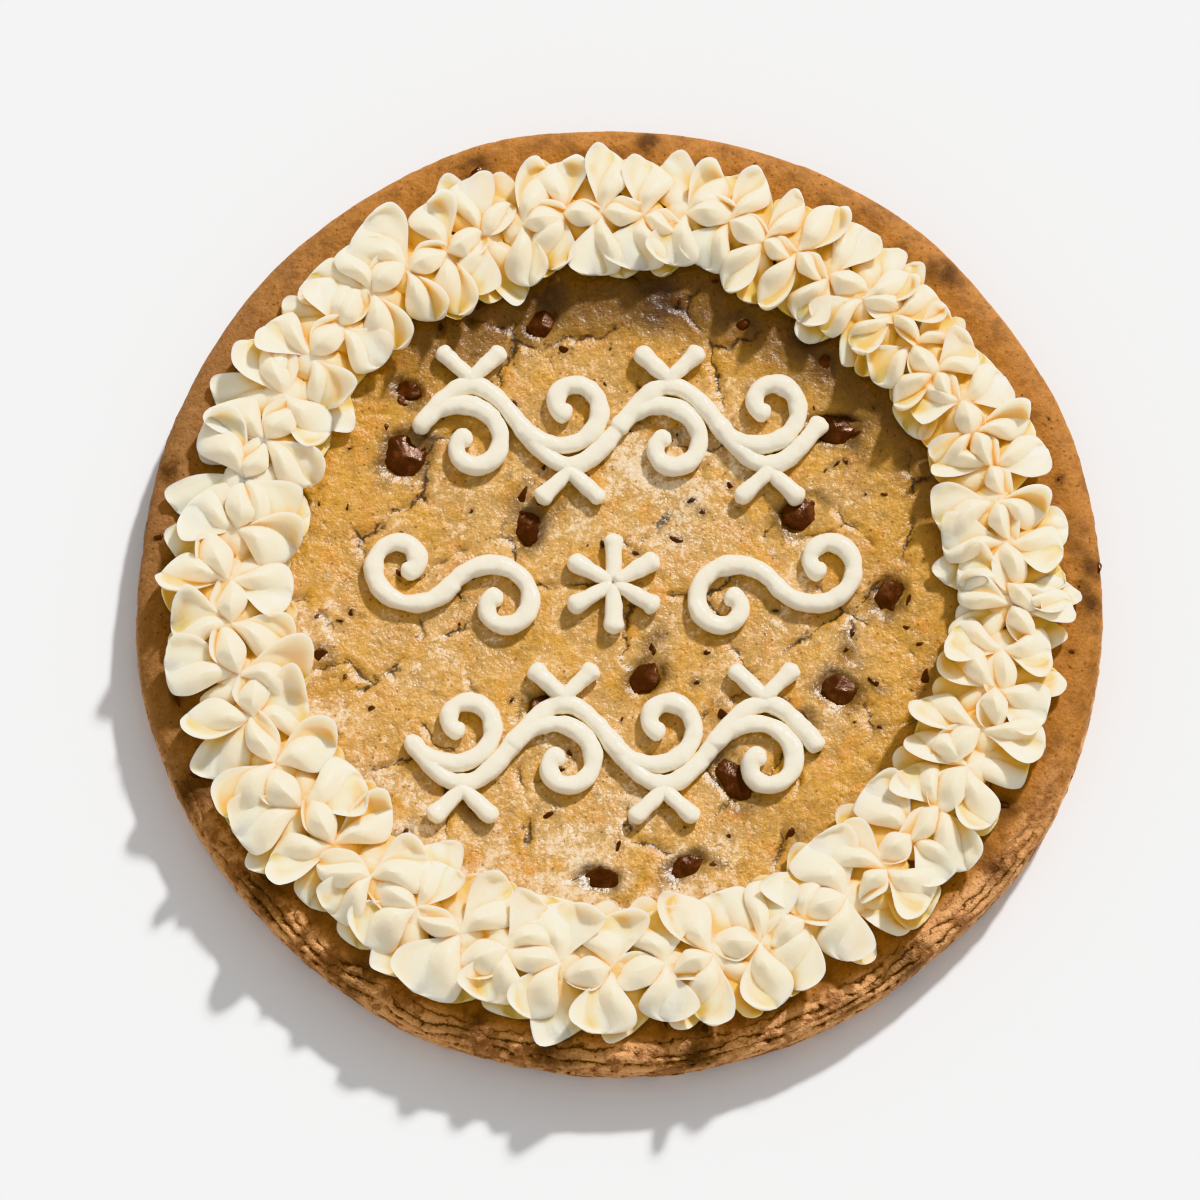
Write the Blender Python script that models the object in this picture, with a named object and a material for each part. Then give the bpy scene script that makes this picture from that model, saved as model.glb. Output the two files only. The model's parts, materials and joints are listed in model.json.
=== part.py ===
# Cookie cake: a 12 inch chocolate chunk cookie with a piped buttercream border.
# Units are metres, +Z is up, and the origin is at the middle of the underside.
# +X is the right-hand side and +Y the far side of the cake as it faces its guest.

import bpy
import bmesh
import numpy as np
from math import atan2, cos, hypot, radians, sin, tau

MM = 0.001

# Driving sizes of the cookie
COOKIE_RADIUS = 153.0 * MM
RIM_HEIGHT = 18.0 * MM
MIDDLE_HEIGHT = 15.6 * MM
SHOULDER = 8.0 * MM
FOOT_RADIUS = 2.5 * MM
RELIEF = 0.5 * MM
COOKIE_SEGMENTS = 72

# Waves of the baked outline: how many go round, height in mm and phase in radians.
# The single wave only centres the outline on the origin.
OUTLINE_WAVES = (
    (1, 0.41, 4.05),
    (2, 0.70, 3.00),
    (3, 0.50, 0.60),
    (5, 0.45, 2.10),
    (8, 0.35, 4.00),
    (13, 0.25, 1.00),
)

# The cookie's section: the side as parts of the foot's radius and the rim's height, the
# shoulder as parts of its width and drops as parts of the rim's height, then the rings
# of the top as parts of the radius
SIDE_PROFILE = ((1.0, 0.0), (0.3, 0.04), (0.0, 0.32), (0.25, 0.56))
SHOULDER_PROFILE = ((0.14, 0.216), (0.42, 0.072), (1.0, 0.0))
TOP_RINGS = (0.85, 0.72, 0.58, 0.43, 0.27, 0.12)

# The middle lies lower than the rim: where the slope starts and ends, as parts of the
# radius, and the waves of the soft lumps in radians a metre
SLOPE_START = 0.25
SLOPE_END = 0.85
RIM_CALM = 0.6
LUMP_X = 52.0
LUMP_Y = 61.0
CROSS_X = 74.0
CROSS_Y = 43.0

# Driving sizes of the buttercream border, a ring of piped flowers
RING_RADIUS = 122.5 * MM
RING_HEIGHT = 12.5 * MM
FLOWER_SPACING = 14.3 * MM
SPACING_SWING = 2.2 * MM
SIZE_SWING = 0.055
CLOSEST_AT = 45.0
PETAL_LENGTH = 21.0 * MM
PETAL_WIDTH = 12.5 * MM
PETAL_TURN = 13.0
TURN_SPREAD = 5.0
RADIUS_SPREAD = 0.8 * MM
LEAST_GAP = 2.4 * MM
CREASE = 0.7 * MM
EDGE_THICKNESS = 1.6 * MM
FOOT_HALF_WIDTH = 11.0 * MM
BORDER_SEED = 5

# Rows of the border's section from the ring's middle to a petal's tip: distance as a
# part of the petal's length, width as a part of its full width, and the heights of the
# petal's trailing edge, ridge and leading edge, of the low petal and of the crease
# between them, as parts of the ring's height
ROWS = (
    (0.00, 0.30, 0.78, 0.80, 0.78, 0.92, 0.84),
    (0.22, 0.50, 0.84, 0.84, 0.66, 0.62, 0.48),
    (0.50, 0.88, 0.80, 0.86, 0.60, 0.50, 0.34),
    (0.78, 1.00, 0.60, 0.74, 0.62, 0.40, 0.26),
    (1.00, 0.62, 0.40, 0.50, 0.54, 0.28, 0.20),
)
LOW_REACH = 0.93
CREASE_REACH = 0.74
CREASE_START = 0.4
BLUNT_TIP = 0.94
STATIONS = 6

# Driving sizes of the piped scrolls
LINE_WIDTH = 7.2 * MM
LINE_HEIGHT = 4.6 * MM
STEM_RISE = 13.0 * MM
STEM_PERIOD = 63.0 * MM
CURL_DROP = 7.0 * MM
CURL_END = 3.6 * MM
CURL_TURN = 385.0
LEAF_LENGTH = 11.5 * MM
LEAF_START = 2.0 * MM
LAYER_STEP = 0.12 * MM
LINE_PROFILE = ((-0.48, 0.0), (-0.32, 1.0), (0.32, 1.0), (0.48, 0.0))
END_REACH = 0.42
END_WIDTH = 0.45
END_HEIGHT = 0.7
LEAF_LEAN = 46.0
LEAF_ROOT = 0.62
STEM_STEPS = 5
CURL_STEPS = 8

# Chocolate chunks: depth, number of corners, how unevenly the corners are set, how
# square the outline is, how long its corners are, and how far the top lies in the crumb
CHUNK_DEPTH = 6.5 * MM
CHUNK_CORNERS = 6
CORNER_SPREAD = 0.22
SQUARENESS = 0.65
LONGEST_CORNER = 1.25
CHUNK_SINK = 0.1 * MM
POCKET_TOP = 3.0 * MM

# The gap round a chunk, and the gap under what lies on the cookie
GAP = 0.36 * MM
REST_GAP = 0.5 * MM

# Every chunk that is as large as a berry: x, y, length, width in mm and turn in degrees
CHUNKS = (
    (-68, 44, 17, 14, 80),
    (68, 53, 15, 10, -5),
    (-29, 21, 13, 9, 78),
    (58, 26, 15, 10, 35),
    (-25, 88, 11, 8, 60),
    (8, -28, 13, 9, 50),
    (-24, -38, 11, 9, 20),
    (69, -32, 13, 10, -35),
    (36, -61, 18, 10, -60),
    (55, -43, 12, 8, 15),
    (85, -2, 13, 9, 60),
    (-6, -93, 12, 7, -10),
    (21, -89, 13, 7, 25),
    (-67, 66, 10, 6, -25),
)


def clear_scene():
    """Remove every object that the new file starts with."""
    for item in list(bpy.data.objects):
        bpy.data.objects.remove(item, do_unlink=True)


def food_material(name, colour, roughness):
    """A plain Principled material in the piece's own colour."""
    material = bpy.data.materials.new(name)
    material.use_nodes = True
    shader = material.node_tree.nodes["Principled BSDF"]
    shader.inputs["Base Color"].default_value = (*colour, 1.0)
    shader.inputs["Roughness"].default_value = roughness
    shader.inputs["Metallic"].default_value = 0.0
    material.diffuse_color = (*colour, 1.0)
    return material


def mesh_object(name, vertices, faces, material=None):
    """Put vertices and faces into a new object with its faces pointing out."""
    mesh = bpy.data.meshes.new(name)
    mesh.from_pydata([tuple(v) for v in vertices], [], faces)
    shape = bmesh.new()
    shape.from_mesh(mesh)
    bmesh.ops.recalc_face_normals(shape, faces=shape.faces)
    if shape.calc_volume(signed=True) < 0.0:
        bmesh.ops.reverse_faces(shape, faces=shape.faces)
    shape.to_mesh(mesh)
    shape.free()
    piece = bpy.data.objects.new(name, mesh)
    bpy.context.scene.collection.objects.link(piece)
    if material is not None:
        mesh.materials.append(material)
    return piece


def loft(sections):
    """Faces of a closed tube through equal rings of points, with capped ends."""
    count = len(sections[0])
    vertices = [point for ring in sections for point in ring]
    faces = []
    for row in range(len(sections) - 1):
        for k in range(count):
            a = row * count + k
            b = row * count + (k + 1) % count
            faces.append((a, b, b + count, a + count))
    last = (len(sections) - 1) * count
    faces.append(tuple(range(count - 1, -1, -1)))
    faces.append(tuple(range(last, last + count)))
    return vertices, faces


def join_by_boolean(target, others, operation):
    """Apply one Boolean of the target with a whole collection, then drop it."""
    group = bpy.data.collections.new(target.name + "_operands")
    bpy.context.scene.collection.children.link(group)
    for piece in others:
        bpy.context.scene.collection.objects.unlink(piece)
        group.objects.link(piece)
    step = target.modifiers.new("Join", "BOOLEAN")
    step.operation = operation
    step.solver = "EXACT"
    step.operand_type = "COLLECTION"
    step.collection = group
    bpy.context.view_layer.update()
    graph = bpy.context.evaluated_depsgraph_get()
    result = bpy.data.meshes.new_from_object(target.evaluated_get(graph))
    target.modifiers.remove(step)
    target.data = result
    for piece in others:
        bpy.data.objects.remove(piece, do_unlink=True)
    bpy.data.collections.remove(group)


def shade(piece, sharp_degrees):
    """Smooth shading with real creases kept."""
    piece.data.shade_smooth()
    piece.data.set_sharp_from_angle(angle=radians(sharp_degrees))


def outline_radius(angle):
    """Radius of the cookie's slightly wavy outline at an angle."""
    wave = sum(size * cos(count * angle + phase) for count, size, phase in OUTLINE_WAVES)
    return COOKIE_RADIUS + wave * MM


def top_height(x, y):
    """Height of the cookie's top: a raised rim, a lower middle and soft lumps."""
    reach = hypot(x, y) / COOKIE_RADIUS
    rise = min(max((reach - SLOPE_START) / (SLOPE_END - SLOPE_START), 0.0), 1.0)
    rise = rise * rise * (3.0 - 2.0 * rise)
    lumps = sin(LUMP_X * x + 1.0) * cos(LUMP_Y * y + 0.4)
    lumps += 0.7 * sin(CROSS_X * x - CROSS_Y * y + 2.0)
    height = MIDDLE_HEIGHT + (RIM_HEIGHT - MIDDLE_HEIGHT) * rise
    return height + RELIEF * lumps * (1.0 - RIM_CALM * rise)


def ring_section(radius_at, height_at):
    """One ring of the cookie's skin from its radius and height at each angle."""
    section = []
    for k in range(COOKIE_SEGMENTS):
        angle = tau * k / COOKIE_SEGMENTS
        radius = radius_at(angle)
        x = radius * cos(angle)
        y = radius * sin(angle)
        section.append((x, y, height_at(x, y)))
    return section


def build_cookie(material):
    """The baked round: flat underside, soft foot, bulging side, rolled shoulder."""
    sections = []
    for inset, height in SIDE_PROFILE:
        sections.append(ring_section(
            lambda angle: outline_radius(angle) - inset * FOOT_RADIUS,
            lambda x, y: height * RIM_HEIGHT,
        ))
    for inset, drop in SHOULDER_PROFILE:
        sections.append(ring_section(
            lambda angle: outline_radius(angle) - inset * SHOULDER,
            lambda x, y: top_height(x, y) - drop * RIM_HEIGHT,
        ))
    for reach in TOP_RINGS:
        sections.append(ring_section(lambda angle: reach * COOKIE_RADIUS, top_height))
    vertices, faces = loft(sections)
    return mesh_object("cookie", vertices, faces, material)


def chunk_outline(length, width, turn, grow, seed):
    """Corners of a broken chocolate chunk, grown outward by a margin."""
    rng = np.random.default_rng(seed)
    corners = []
    for k in range(CHUNK_CORNERS):
        angle = tau * (k + rng.uniform(-CORNER_SPREAD, CORNER_SPREAD)) / CHUNK_CORNERS
        square = 1.0 / max(abs(cos(angle)), abs(sin(angle)))
        reach = (1.0 - SQUARENESS + SQUARENESS * square) * rng.uniform(0.9, 1.04)
        reach = min(reach, LONGEST_CORNER)
        x = 0.5 * (length * MM + 2 * grow) * reach * cos(angle)
        y = 0.5 * (width * MM + 2 * grow) * reach * sin(angle)
        corners.append((x * cos(turn) - y * sin(turn), x * sin(turn) + y * cos(turn)))
    return corners


def chunk_solid(name, place, grow, top_offset, depth, material=None):
    """A prism whose top lies in the cookie's surface."""
    x0, y0, length, width, degrees = place
    corners = chunk_outline(length, width, radians(degrees), grow, int(abs(x0 * 31 + y0)))
    level = top_height(x0 * MM, y0 * MM)
    top = []
    bottom = []
    for x, y in corners:
        px = x0 * MM + x
        py = y0 * MM + y
        top.append((px, py, top_height(px, py) + top_offset))
        bottom.append((px, py, level - depth))
    vertices, faces = loft([bottom, top])
    return mesh_object(name, vertices, faces, material)


def build_chunks(cookie, material):
    """The large chunks, each in a pocket of the cookie that is one gap wider."""
    pockets = []
    for number, place in enumerate(CHUNKS, 1):
        chunk_solid(f"chocolate_chunk_{number:02d}", place, 0.0, -CHUNK_SINK, CHUNK_DEPTH, material)
        pockets.append(chunk_solid("pocket", place, GAP, POCKET_TOP, CHUNK_DEPTH + GAP))
    join_by_boolean(cookie, pockets, "DIFFERENCE")


def flower_table():
    """Places and sizes of the flowers, one behind the other round the ring."""
    rng = np.random.default_rng(BORDER_SEED)
    angles = [0.0]
    while True:
        spacing = FLOWER_SPACING - SPACING_SWING * cos(angles[-1] - radians(CLOSEST_AT))
        following = angles[-1] + spacing * rng.uniform(0.9, 1.1) / RING_RADIUS
        if following > tau - 0.5 * FLOWER_SPACING / RING_RADIUS:
            break
        angles.append(following)
    flowers = []
    for angle in angles:
        flowers.append({
            "angle": angle,
            "radius": RING_RADIUS + rng.normal(0.0, 1.0) * RADIUS_SPREAD,
            "size": 1.0 - SIZE_SWING * cos(angle - radians(CLOSEST_AT)),
            "height": rng.uniform(0.90, 1.06),
            "turns": rng.normal(0.0, 1.0, 4),
            "scales": rng.uniform(0.9, 1.08, 4),
        })
    return flowers


def petal_line(flower, side, row):
    """Where a flower's high petal runs: distance from the ring and angle there."""
    reach, spread = row[:2]
    number = 0 if side > 0 else 1
    length = PETAL_LENGTH * flower["size"] * flower["scales"][number]
    turn = radians(PETAL_TURN + TURN_SPREAD * flower["turns"][number])
    along = -side * reach * length * sin(turn)
    half = 0.5 * PETAL_WIDTH * flower["size"] * flower["scales"][number + 2] * spread
    return reach * length * cos(turn), flower["angle"] + along / RING_RADIUS, half / RING_RADIUS


def border_points(flowers, side, row):
    """Points of one row round the whole ring, six for each flower.

    They are the trailing edge, ridge and leading edge of the high petal, then the
    low petal between two creases. side is 1 outside the ring's middle and -1 inside.
    """
    points = []
    for here, after in zip(flowers, flowers[1:] + flowers[:1]):
        away, middle, half = petal_line(here, side, row)
        away_after, middle_after, half_after = petal_line(after, side, row)
        gap = (middle_after - middle) % tau
        room = 0.5 * (gap - LEAST_GAP / RING_RADIUS)
        half = min(half, room)
        half_after = min(half_after, room)
        low = middle + 0.5 * (gap + half - half_after)
        crease = 0.5 * (gap - half - half_after) - CREASE / RING_RADIUS
        crease = max(crease, 0.2 * LEAST_GAP / RING_RADIUS)
        low_away = LOW_REACH * 0.5 * (away + away_after)
        cut = CREASE_REACH if row[0] > CREASE_START else 1.0
        blunt = BLUNT_TIP if row is ROWS[-1] else 1.0
        places = (
            (middle - half, blunt * away, row[2]),
            (middle, away, row[3]),
            (middle + half, blunt * away, row[4]),
            (low - crease, cut * away, row[6]),
            (low, low_away, row[5]),
            (low + crease, cut * away_after, row[6]),
        )
        for angle, distance, part in places:
            radius = here["radius"] + side * distance
            x = radius * cos(angle)
            y = radius * sin(angle)
            rise = max(part * RING_HEIGHT * here["height"], EDGE_THICKNESS)
            points.append((x, y, top_height(x, y) + REST_GAP + rise))
    return points


def border_underside(flowers, side, tip_points):
    """The thin lower edge of the tips, then the foot that stands on the cookie."""
    edge = []
    foot = []
    for number, (x, y, z) in enumerate(tip_points):
        radius = hypot(x, y)
        angle = atan2(y, x)
        inset = radius - side * 0.5 * EDGE_THICKNESS
        ex = inset * cos(angle)
        ey = inset * sin(angle)
        floor = top_height(ex, ey) + REST_GAP
        edge.append((ex, ey, max(z - EDGE_THICKNESS, floor)))
        middle = flowers[number // STATIONS]["radius"]
        fx = (middle + side * FOOT_HALF_WIDTH) * cos(angle)
        fy = (middle + side * FOOT_HALF_WIDTH) * sin(angle)
        foot.append((fx, fy, top_height(fx, fy) + REST_GAP))
    return edge, foot


def build_border(material):
    """One closed skin over all the flowers, from foot to foot over the petals."""
    flowers = flower_table()
    outside = [border_points(flowers, 1, row) for row in ROWS]
    inside = [border_points(flowers, -1, row) for row in ROWS[1:]]
    outer_edge, outer_foot = border_underside(flowers, 1, outside[-1])
    inner_edge, inner_foot = border_underside(flowers, -1, inside[-1])
    loops = [inner_foot, inner_edge, *reversed(inside), *outside, outer_edge, outer_foot]
    count = len(outer_foot)
    vertices = [point for loop in loops for point in loop]
    faces = []
    for row in range(len(loops)):
        following = (row + 1) % len(loops)
        for k in range(count):
            a = row * count + k
            b = row * count + (k + 1) % count
            c = following * count + (k + 1) % count
            d = following * count + k
            faces.append((a, b, c))
            faces.append((a, c, d))
    return mesh_object("buttercream_border", vertices, faces, material)


def bead(points, layer, root):
    """One piped line: a four-sided section with drawn-in ends, laid on the cookie.

    Each later layer of a motif starts a little higher and ends a little lower, so
    that no two lines share a face where they cross. root is the width at the start.
    """
    points = np.array(points, dtype=float)
    heading = np.gradient(points, axis=0)
    heading /= np.hypot(*heading.T)[:, None]
    first = points[0] - END_REACH * LINE_WIDTH * heading[0]
    last = points[-1] + END_REACH * LINE_WIDTH * heading[-1]
    points = np.vstack((first, points, last))
    heading = np.vstack((heading[0], heading, heading[-1]))
    widths = np.interp(range(len(points)), (1, len(points) - 2), (root, 1.0))
    sections = []
    for row, ((x, y), (hx, hy)) in enumerate(zip(points, heading)):
        end = row in (0, len(points) - 1)
        width = LINE_WIDTH * widths[row] * (END_WIDTH if end else 1.0)
        height = (LINE_HEIGHT - 2 * layer * LAYER_STEP) * (END_HEIGHT if end else 1.0)
        section = []
        for side, lift in LINE_PROFILE:
            px = x - side * width * hy
            py = y + side * width * hx
            base = top_height(px, py) + REST_GAP + layer * LAYER_STEP
            section.append((px, py, base + lift * height))
        sections.append(section)
    return loft(sections)


def stem(x0, y0, halves, rise):
    """A waving stem that starts at a zero crossing, as a list of points."""
    points = []
    for k in range(halves * STEM_STEPS + 1):
        part = 0.5 * k / STEM_STEPS
        points.append((x0 + STEM_PERIOD * part, y0 + rise * sin(tau * part)))
    return points


def curl(start, centre, side):
    """A branch that leaves the stem and winds in to its end round a centre."""
    dx = start[0] - centre[0]
    dy = start[1] - centre[1]
    reach = hypot(dx, dy)
    begin = atan2(dy, dx)
    points = []
    for k in range(CURL_STEPS + 1):
        part = k / CURL_STEPS
        radius = reach * (CURL_END / reach) ** part
        angle = begin - side * radians(CURL_TURN) * part
        points.append((centre[0] + radius * cos(angle), centre[1] + radius * sin(angle)))
    return points


def leaf(x, y, degrees):
    """A short pressed drop that stands for a leaf."""
    turn = radians(degrees)
    return [(x, y), (x + LEAF_LENGTH * cos(turn), y + LEAF_LENGTH * sin(turn))]


def vine(x0, y0, crests, side):
    """A stem whose bays each hold a curl, with a pair of leaves on every crest.

    Each path of a motif comes with its layer and its width at the start.
    """
    paths = [(0, 1.0, stem(x0, y0, crests, side * STEM_RISE))]
    for k in range(crests):
        up = side * (1 if k % 2 == 0 else -1)
        start = (x0 + 0.5 * k * STEM_PERIOD, y0)
        middle = (start[0] + 0.25 * STEM_PERIOD, y0 - up * CURL_DROP)
        paths.append((1, 1.0, curl(start, middle, up)))
        root = y0 + up * (STEM_RISE + LEAF_START)
        for layer, lean in ((2, -LEAF_LEAN), (3, LEAF_LEAN)):
            paths.append((layer, LEAF_ROOT, leaf(middle[0], root, up * 90 - lean)))
    return paths


def scroll(x0, x1, y0, side):
    """A lying double curl: one bay with a curl at both ends, wound opposite ways."""
    middle = 0.5 * (x0 + x1)
    paths = []
    for layer, (end, up) in enumerate(((x0, side), (x1, -side))):
        centre = (0.5 * (middle + end), y0 + up * CURL_DROP)
        turning = up if end < middle else -up
        paths.append((layer, 1.0, curl((middle, y0), centre, turning)))
    return paths


def daisy(x, y, petals):
    """A round of pressed drops that meet in a dot."""
    paths = []
    for k in range(petals):
        degrees = 90 + 360 * k / petals
        turn = radians(degrees)
        root = (x + LEAF_START * cos(turn), y + LEAF_START * sin(turn))
        paths.append((k, LEAF_ROOT, leaf(*root, degrees)))
    return paths


def build_piping(material):
    """The middle of the cake: two vines, two lying curls and a daisy."""
    motifs = {
        "piped_vine_upper": vine(-63 * MM, 54 * MM, 4, 1),
        "piped_scroll_left": scroll(-84 * MM, -22 * MM, 2 * MM, 1),
        "piped_daisy": daisy(-2 * MM, 2 * MM, 6),
        "piped_scroll_right": scroll(80 * MM, 18 * MM, 2 * MM, 1),
        "piped_vine_lower": vine(-65 * MM, -50 * MM, 4, -1),
    }
    for name, paths in motifs.items():
        beads = []
        for layer, root, path in paths:
            vertices, faces = bead(path, layer, root)
            beads.append(mesh_object(name, vertices, faces))
        target = beads[0]
        join_by_boolean(target, beads[1:], "UNION")
        target.data.materials.clear()
        target.data.materials.append(material)
        shade(target, 40)


def main():
    clear_scene()
    crumb = food_material("baked_cookie", (0.40, 0.19, 0.055), 0.55)
    chocolate = food_material("dark_chocolate", (0.065, 0.022, 0.010), 0.28)
    buttercream = food_material("ivory_buttercream", (0.86, 0.73, 0.45), 0.35)
    icing = food_material("white_icing", (0.85, 0.79, 0.64), 0.30)
    cookie = build_cookie(crumb)
    build_chunks(cookie, chocolate)
    border = build_border(buttercream)
    build_piping(icing)
    shade(cookie, 35)
    shade(border, 40)


main()
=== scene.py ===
# %% [markdown]
# A cookie cake, dressed for its picture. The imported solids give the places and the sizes.
# Each step below first says what the real thing is and how it could be made, and then
# makes it. Lengths are in metres, +X is right, +Y is the far side and +Z is up.

# %% Load the frame
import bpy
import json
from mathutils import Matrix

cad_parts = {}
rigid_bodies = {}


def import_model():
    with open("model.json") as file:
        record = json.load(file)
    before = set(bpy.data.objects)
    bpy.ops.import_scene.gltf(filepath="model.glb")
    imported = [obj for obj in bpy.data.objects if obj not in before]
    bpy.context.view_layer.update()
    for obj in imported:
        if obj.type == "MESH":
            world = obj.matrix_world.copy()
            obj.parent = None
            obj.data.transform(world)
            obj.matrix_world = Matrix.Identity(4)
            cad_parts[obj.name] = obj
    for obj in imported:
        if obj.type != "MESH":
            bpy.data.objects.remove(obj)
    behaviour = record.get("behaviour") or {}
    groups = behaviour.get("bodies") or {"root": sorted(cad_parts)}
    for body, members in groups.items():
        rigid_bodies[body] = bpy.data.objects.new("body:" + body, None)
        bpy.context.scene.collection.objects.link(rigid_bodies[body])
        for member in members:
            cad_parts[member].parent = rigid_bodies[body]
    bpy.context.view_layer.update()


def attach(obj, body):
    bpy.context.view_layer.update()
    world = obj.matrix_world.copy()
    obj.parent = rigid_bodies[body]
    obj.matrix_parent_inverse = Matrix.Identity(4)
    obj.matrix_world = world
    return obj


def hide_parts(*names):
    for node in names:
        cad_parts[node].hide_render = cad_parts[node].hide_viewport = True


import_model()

# %% Tools and units
import json
from math import atan2, cos, hypot, pi, radians, sin, tau

import bmesh
import bpy
import numpy as np
from mathutils import Vector, noise as field
from mathutils.bvhtree import BVHTree

MM = 0.001


def in_scene(name, data):
    """A new object in the scene, round a mesh, a lamp or a camera."""
    made = bpy.data.objects.new(name, data)
    bpy.context.scene.collection.objects.link(made)
    return made


def mesh_of(name, points, faces=(), edges=()):
    """A mesh from points and from the point numbers of its faces or edges."""
    mesh = bpy.data.meshes.new(name)
    mesh.from_pydata([tuple(point) for point in points], edges, faces)
    return mesh


def mesh_from(name, shape):
    """The mesh of a shape that was worked on in bmesh, which is then let go."""
    mesh = bpy.data.meshes.new(name)
    shape.to_mesh(mesh)
    shape.free()
    return mesh


print("1 mm is", MM, "quick run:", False)

# %% [markdown]
# The camera looks down at the cake from the front, about 75 degrees above the table, and
# from far enough away that the round stays nearly a circle. A long lens at a distance
# gives that. The distance and the width of the view fix the lens.

# %% Camera
ELEVATION = radians(75.0)
DISTANCE = 2.4
VIEW_WIDTH = 378.6 * MM
SENSOR = 36.0
AIM = Vector((-6.3 * MM, -3.0 * MM, 17.0 * MM))


def make_camera():
    data = bpy.data.cameras.new("camera")
    data.sensor_width = SENSOR
    data.lens = SENSOR * DISTANCE / VIEW_WIDTH
    data.clip_end = 20.0
    camera = in_scene("camera", data)
    away = Vector((0.0, -cos(ELEVATION), sin(ELEVATION)))
    camera.location = AIM + DISTANCE * away
    camera.rotation_euler = away.to_track_quat("Z", "Y").to_euler()
    bpy.context.scene.camera = camera
    return camera


camera = make_camera()
print("lens", round(camera.data.lens, 1), "mm")

# %% [markdown]
# The light is one firm lamp from the far right, a little under halfway up, with a bright
# even room around it. A sun lamp gives parallel shadows with a small blur at their edge,
# and the world's plain colour fills them. The neutral view transform bends the brightest
# tones instead of cutting them off, so white cream keeps its folds.

# %% Floor and light
SUN_AZIMUTH = radians(30.0)
SUN_ELEVATION = radians(37.0)
SUN_STRENGTH = 4.0
SUN_ANGLE = radians(5.0)
ROOM_LIGHT = 0.56
ROOM_COLOUR = (1.0, 1.0, 1.0, 1.0)
FLOOR_REACH = 4.0
PAPER = (0.90, 0.90, 0.90, 1.0)
PAPER_ROUGHNESS = 0.85


def make_stage():
    side = FLOOR_REACH
    corners = [(-side, -side, 0), (side, -side, 0), (side, side, 0), (-side, side, 0)]
    floor = in_scene("floor", mesh_of("floor", corners, [(0, 1, 2, 3)]))
    paper = bpy.data.materials.new("paper")
    paper.use_nodes = True
    shader = paper.node_tree.nodes["Principled BSDF"]
    shader.inputs["Base Color"].default_value = PAPER
    shader.inputs["Roughness"].default_value = PAPER_ROUGHNESS
    floor.data.materials.append(paper)
    lamp = bpy.data.lights.new("key", "SUN")
    lamp.energy = SUN_STRENGTH
    lamp.angle = SUN_ANGLE
    key = in_scene("key", lamp)
    towards = Vector((
        cos(SUN_ELEVATION) * sin(SUN_AZIMUTH),
        cos(SUN_ELEVATION) * cos(SUN_AZIMUTH),
        sin(SUN_ELEVATION),
    ))
    key.rotation_euler = towards.to_track_quat("Z", "Y").to_euler()
    world = bpy.data.worlds.new("room")
    world.use_nodes = True
    world.node_tree.nodes["Background"].inputs["Color"].default_value = ROOM_COLOUR
    world.node_tree.nodes["Background"].inputs["Strength"].default_value = ROOM_LIGHT
    bpy.context.scene.world = world
    bpy.context.scene.view_settings.view_transform = "Khronos PBR Neutral"


make_stage()
print("key lamp", SUN_STRENGTH, "room", ROOM_LIGHT)

# %% [markdown]
# Node trees are built from Python here, for the materials and for Geometry Nodes alike.
# A few helpers keep that short: one adds a node and fills its sockets, and the others
# stand for sums, noise, soft steps and mixing. The same helpers serve both kinds of tree,
# so a pattern can shape the mesh and colour it.

# %% Node helpers
def put(tree, kind, sockets=None, **settings):
    """Add a node, set its options, then fill its sockets with values or links."""
    node = tree.nodes.new(kind)
    for name, value in settings.items():
        setattr(node, name, value)
    for key, value in (sockets or {}).items():
        if isinstance(value, bpy.types.NodeSocket):
            tree.links.new(value, node.inputs[key])
        else:
            node.inputs[key].default_value = value
    return node


def calc(tree, operation, *values):
    return put(tree, "ShaderNodeMath", dict(enumerate(values)), operation=operation).outputs[0]


def plus(tree, first, second):
    return calc(tree, "ADD", first, second)


def minus(tree, first, second):
    return calc(tree, "SUBTRACT", first, second)


def times(tree, first, second):
    return calc(tree, "MULTIPLY", first, second)


def vector_calc(tree, operation, *values):
    return put(tree, "ShaderNodeVectorMath", dict(enumerate(values)), operation=operation).outputs[0]


def scaled(tree, vector, factor):
    sockets = {0: vector, "Scale": factor}
    return put(tree, "ShaderNodeVectorMath", sockets, operation="SCALE").outputs[0]


def noise(tree, place, size, detail=4.0, roughness=0.55, distortion=0.0):
    """Cloudy noise whose blobs are about size metres across."""
    sockets = {
        "Vector": place, "Scale": 1.0 / size, "Detail": detail,
        "Roughness": roughness, "Distortion": distortion,
    }
    return put(tree, "ShaderNodeTexNoise", sockets).outputs[0]


def step(tree, value, low, high, start=0.0, end=1.0):
    """A soft step from start to end while value goes from low to high."""
    sockets = {0: value, 1: low, 2: high, 3: start, 4: end}
    return put(tree, "ShaderNodeMapRange", sockets, interpolation_type="SMOOTHSTEP").outputs[0]


def mix(tree, share, first, second, way="MIX"):
    """Mix two colours."""
    sockets = {0: share, 6: first, 7: second}
    return put(tree, "ShaderNodeMix", sockets, data_type="RGBA", blend_type=way).outputs[2]


def mix_value(tree, share, first, second):
    """Mix two numbers."""
    return put(tree, "ShaderNodeMix", {0: share, 2: first, 3: second}, data_type="FLOAT").outputs[0]


def new_group(name, family, inputs, output):
    """An empty node group and its inputs. A number stands for a socket with that value."""
    group = bpy.data.node_groups.new(name, family)
    for way, sockets in (("INPUT", inputs), ("OUTPUT", output)):
        for label, kind in sockets.items():
            named = isinstance(kind, str)
            socket_type = f"NodeSocket{kind}" if named else "NodeSocketFloat"
            made = group.interface.new_socket(label, in_out=way, socket_type=socket_type)
            if not named:
                made.default_value = kind
    return group, group.nodes.new("NodeGroupInput").outputs


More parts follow.
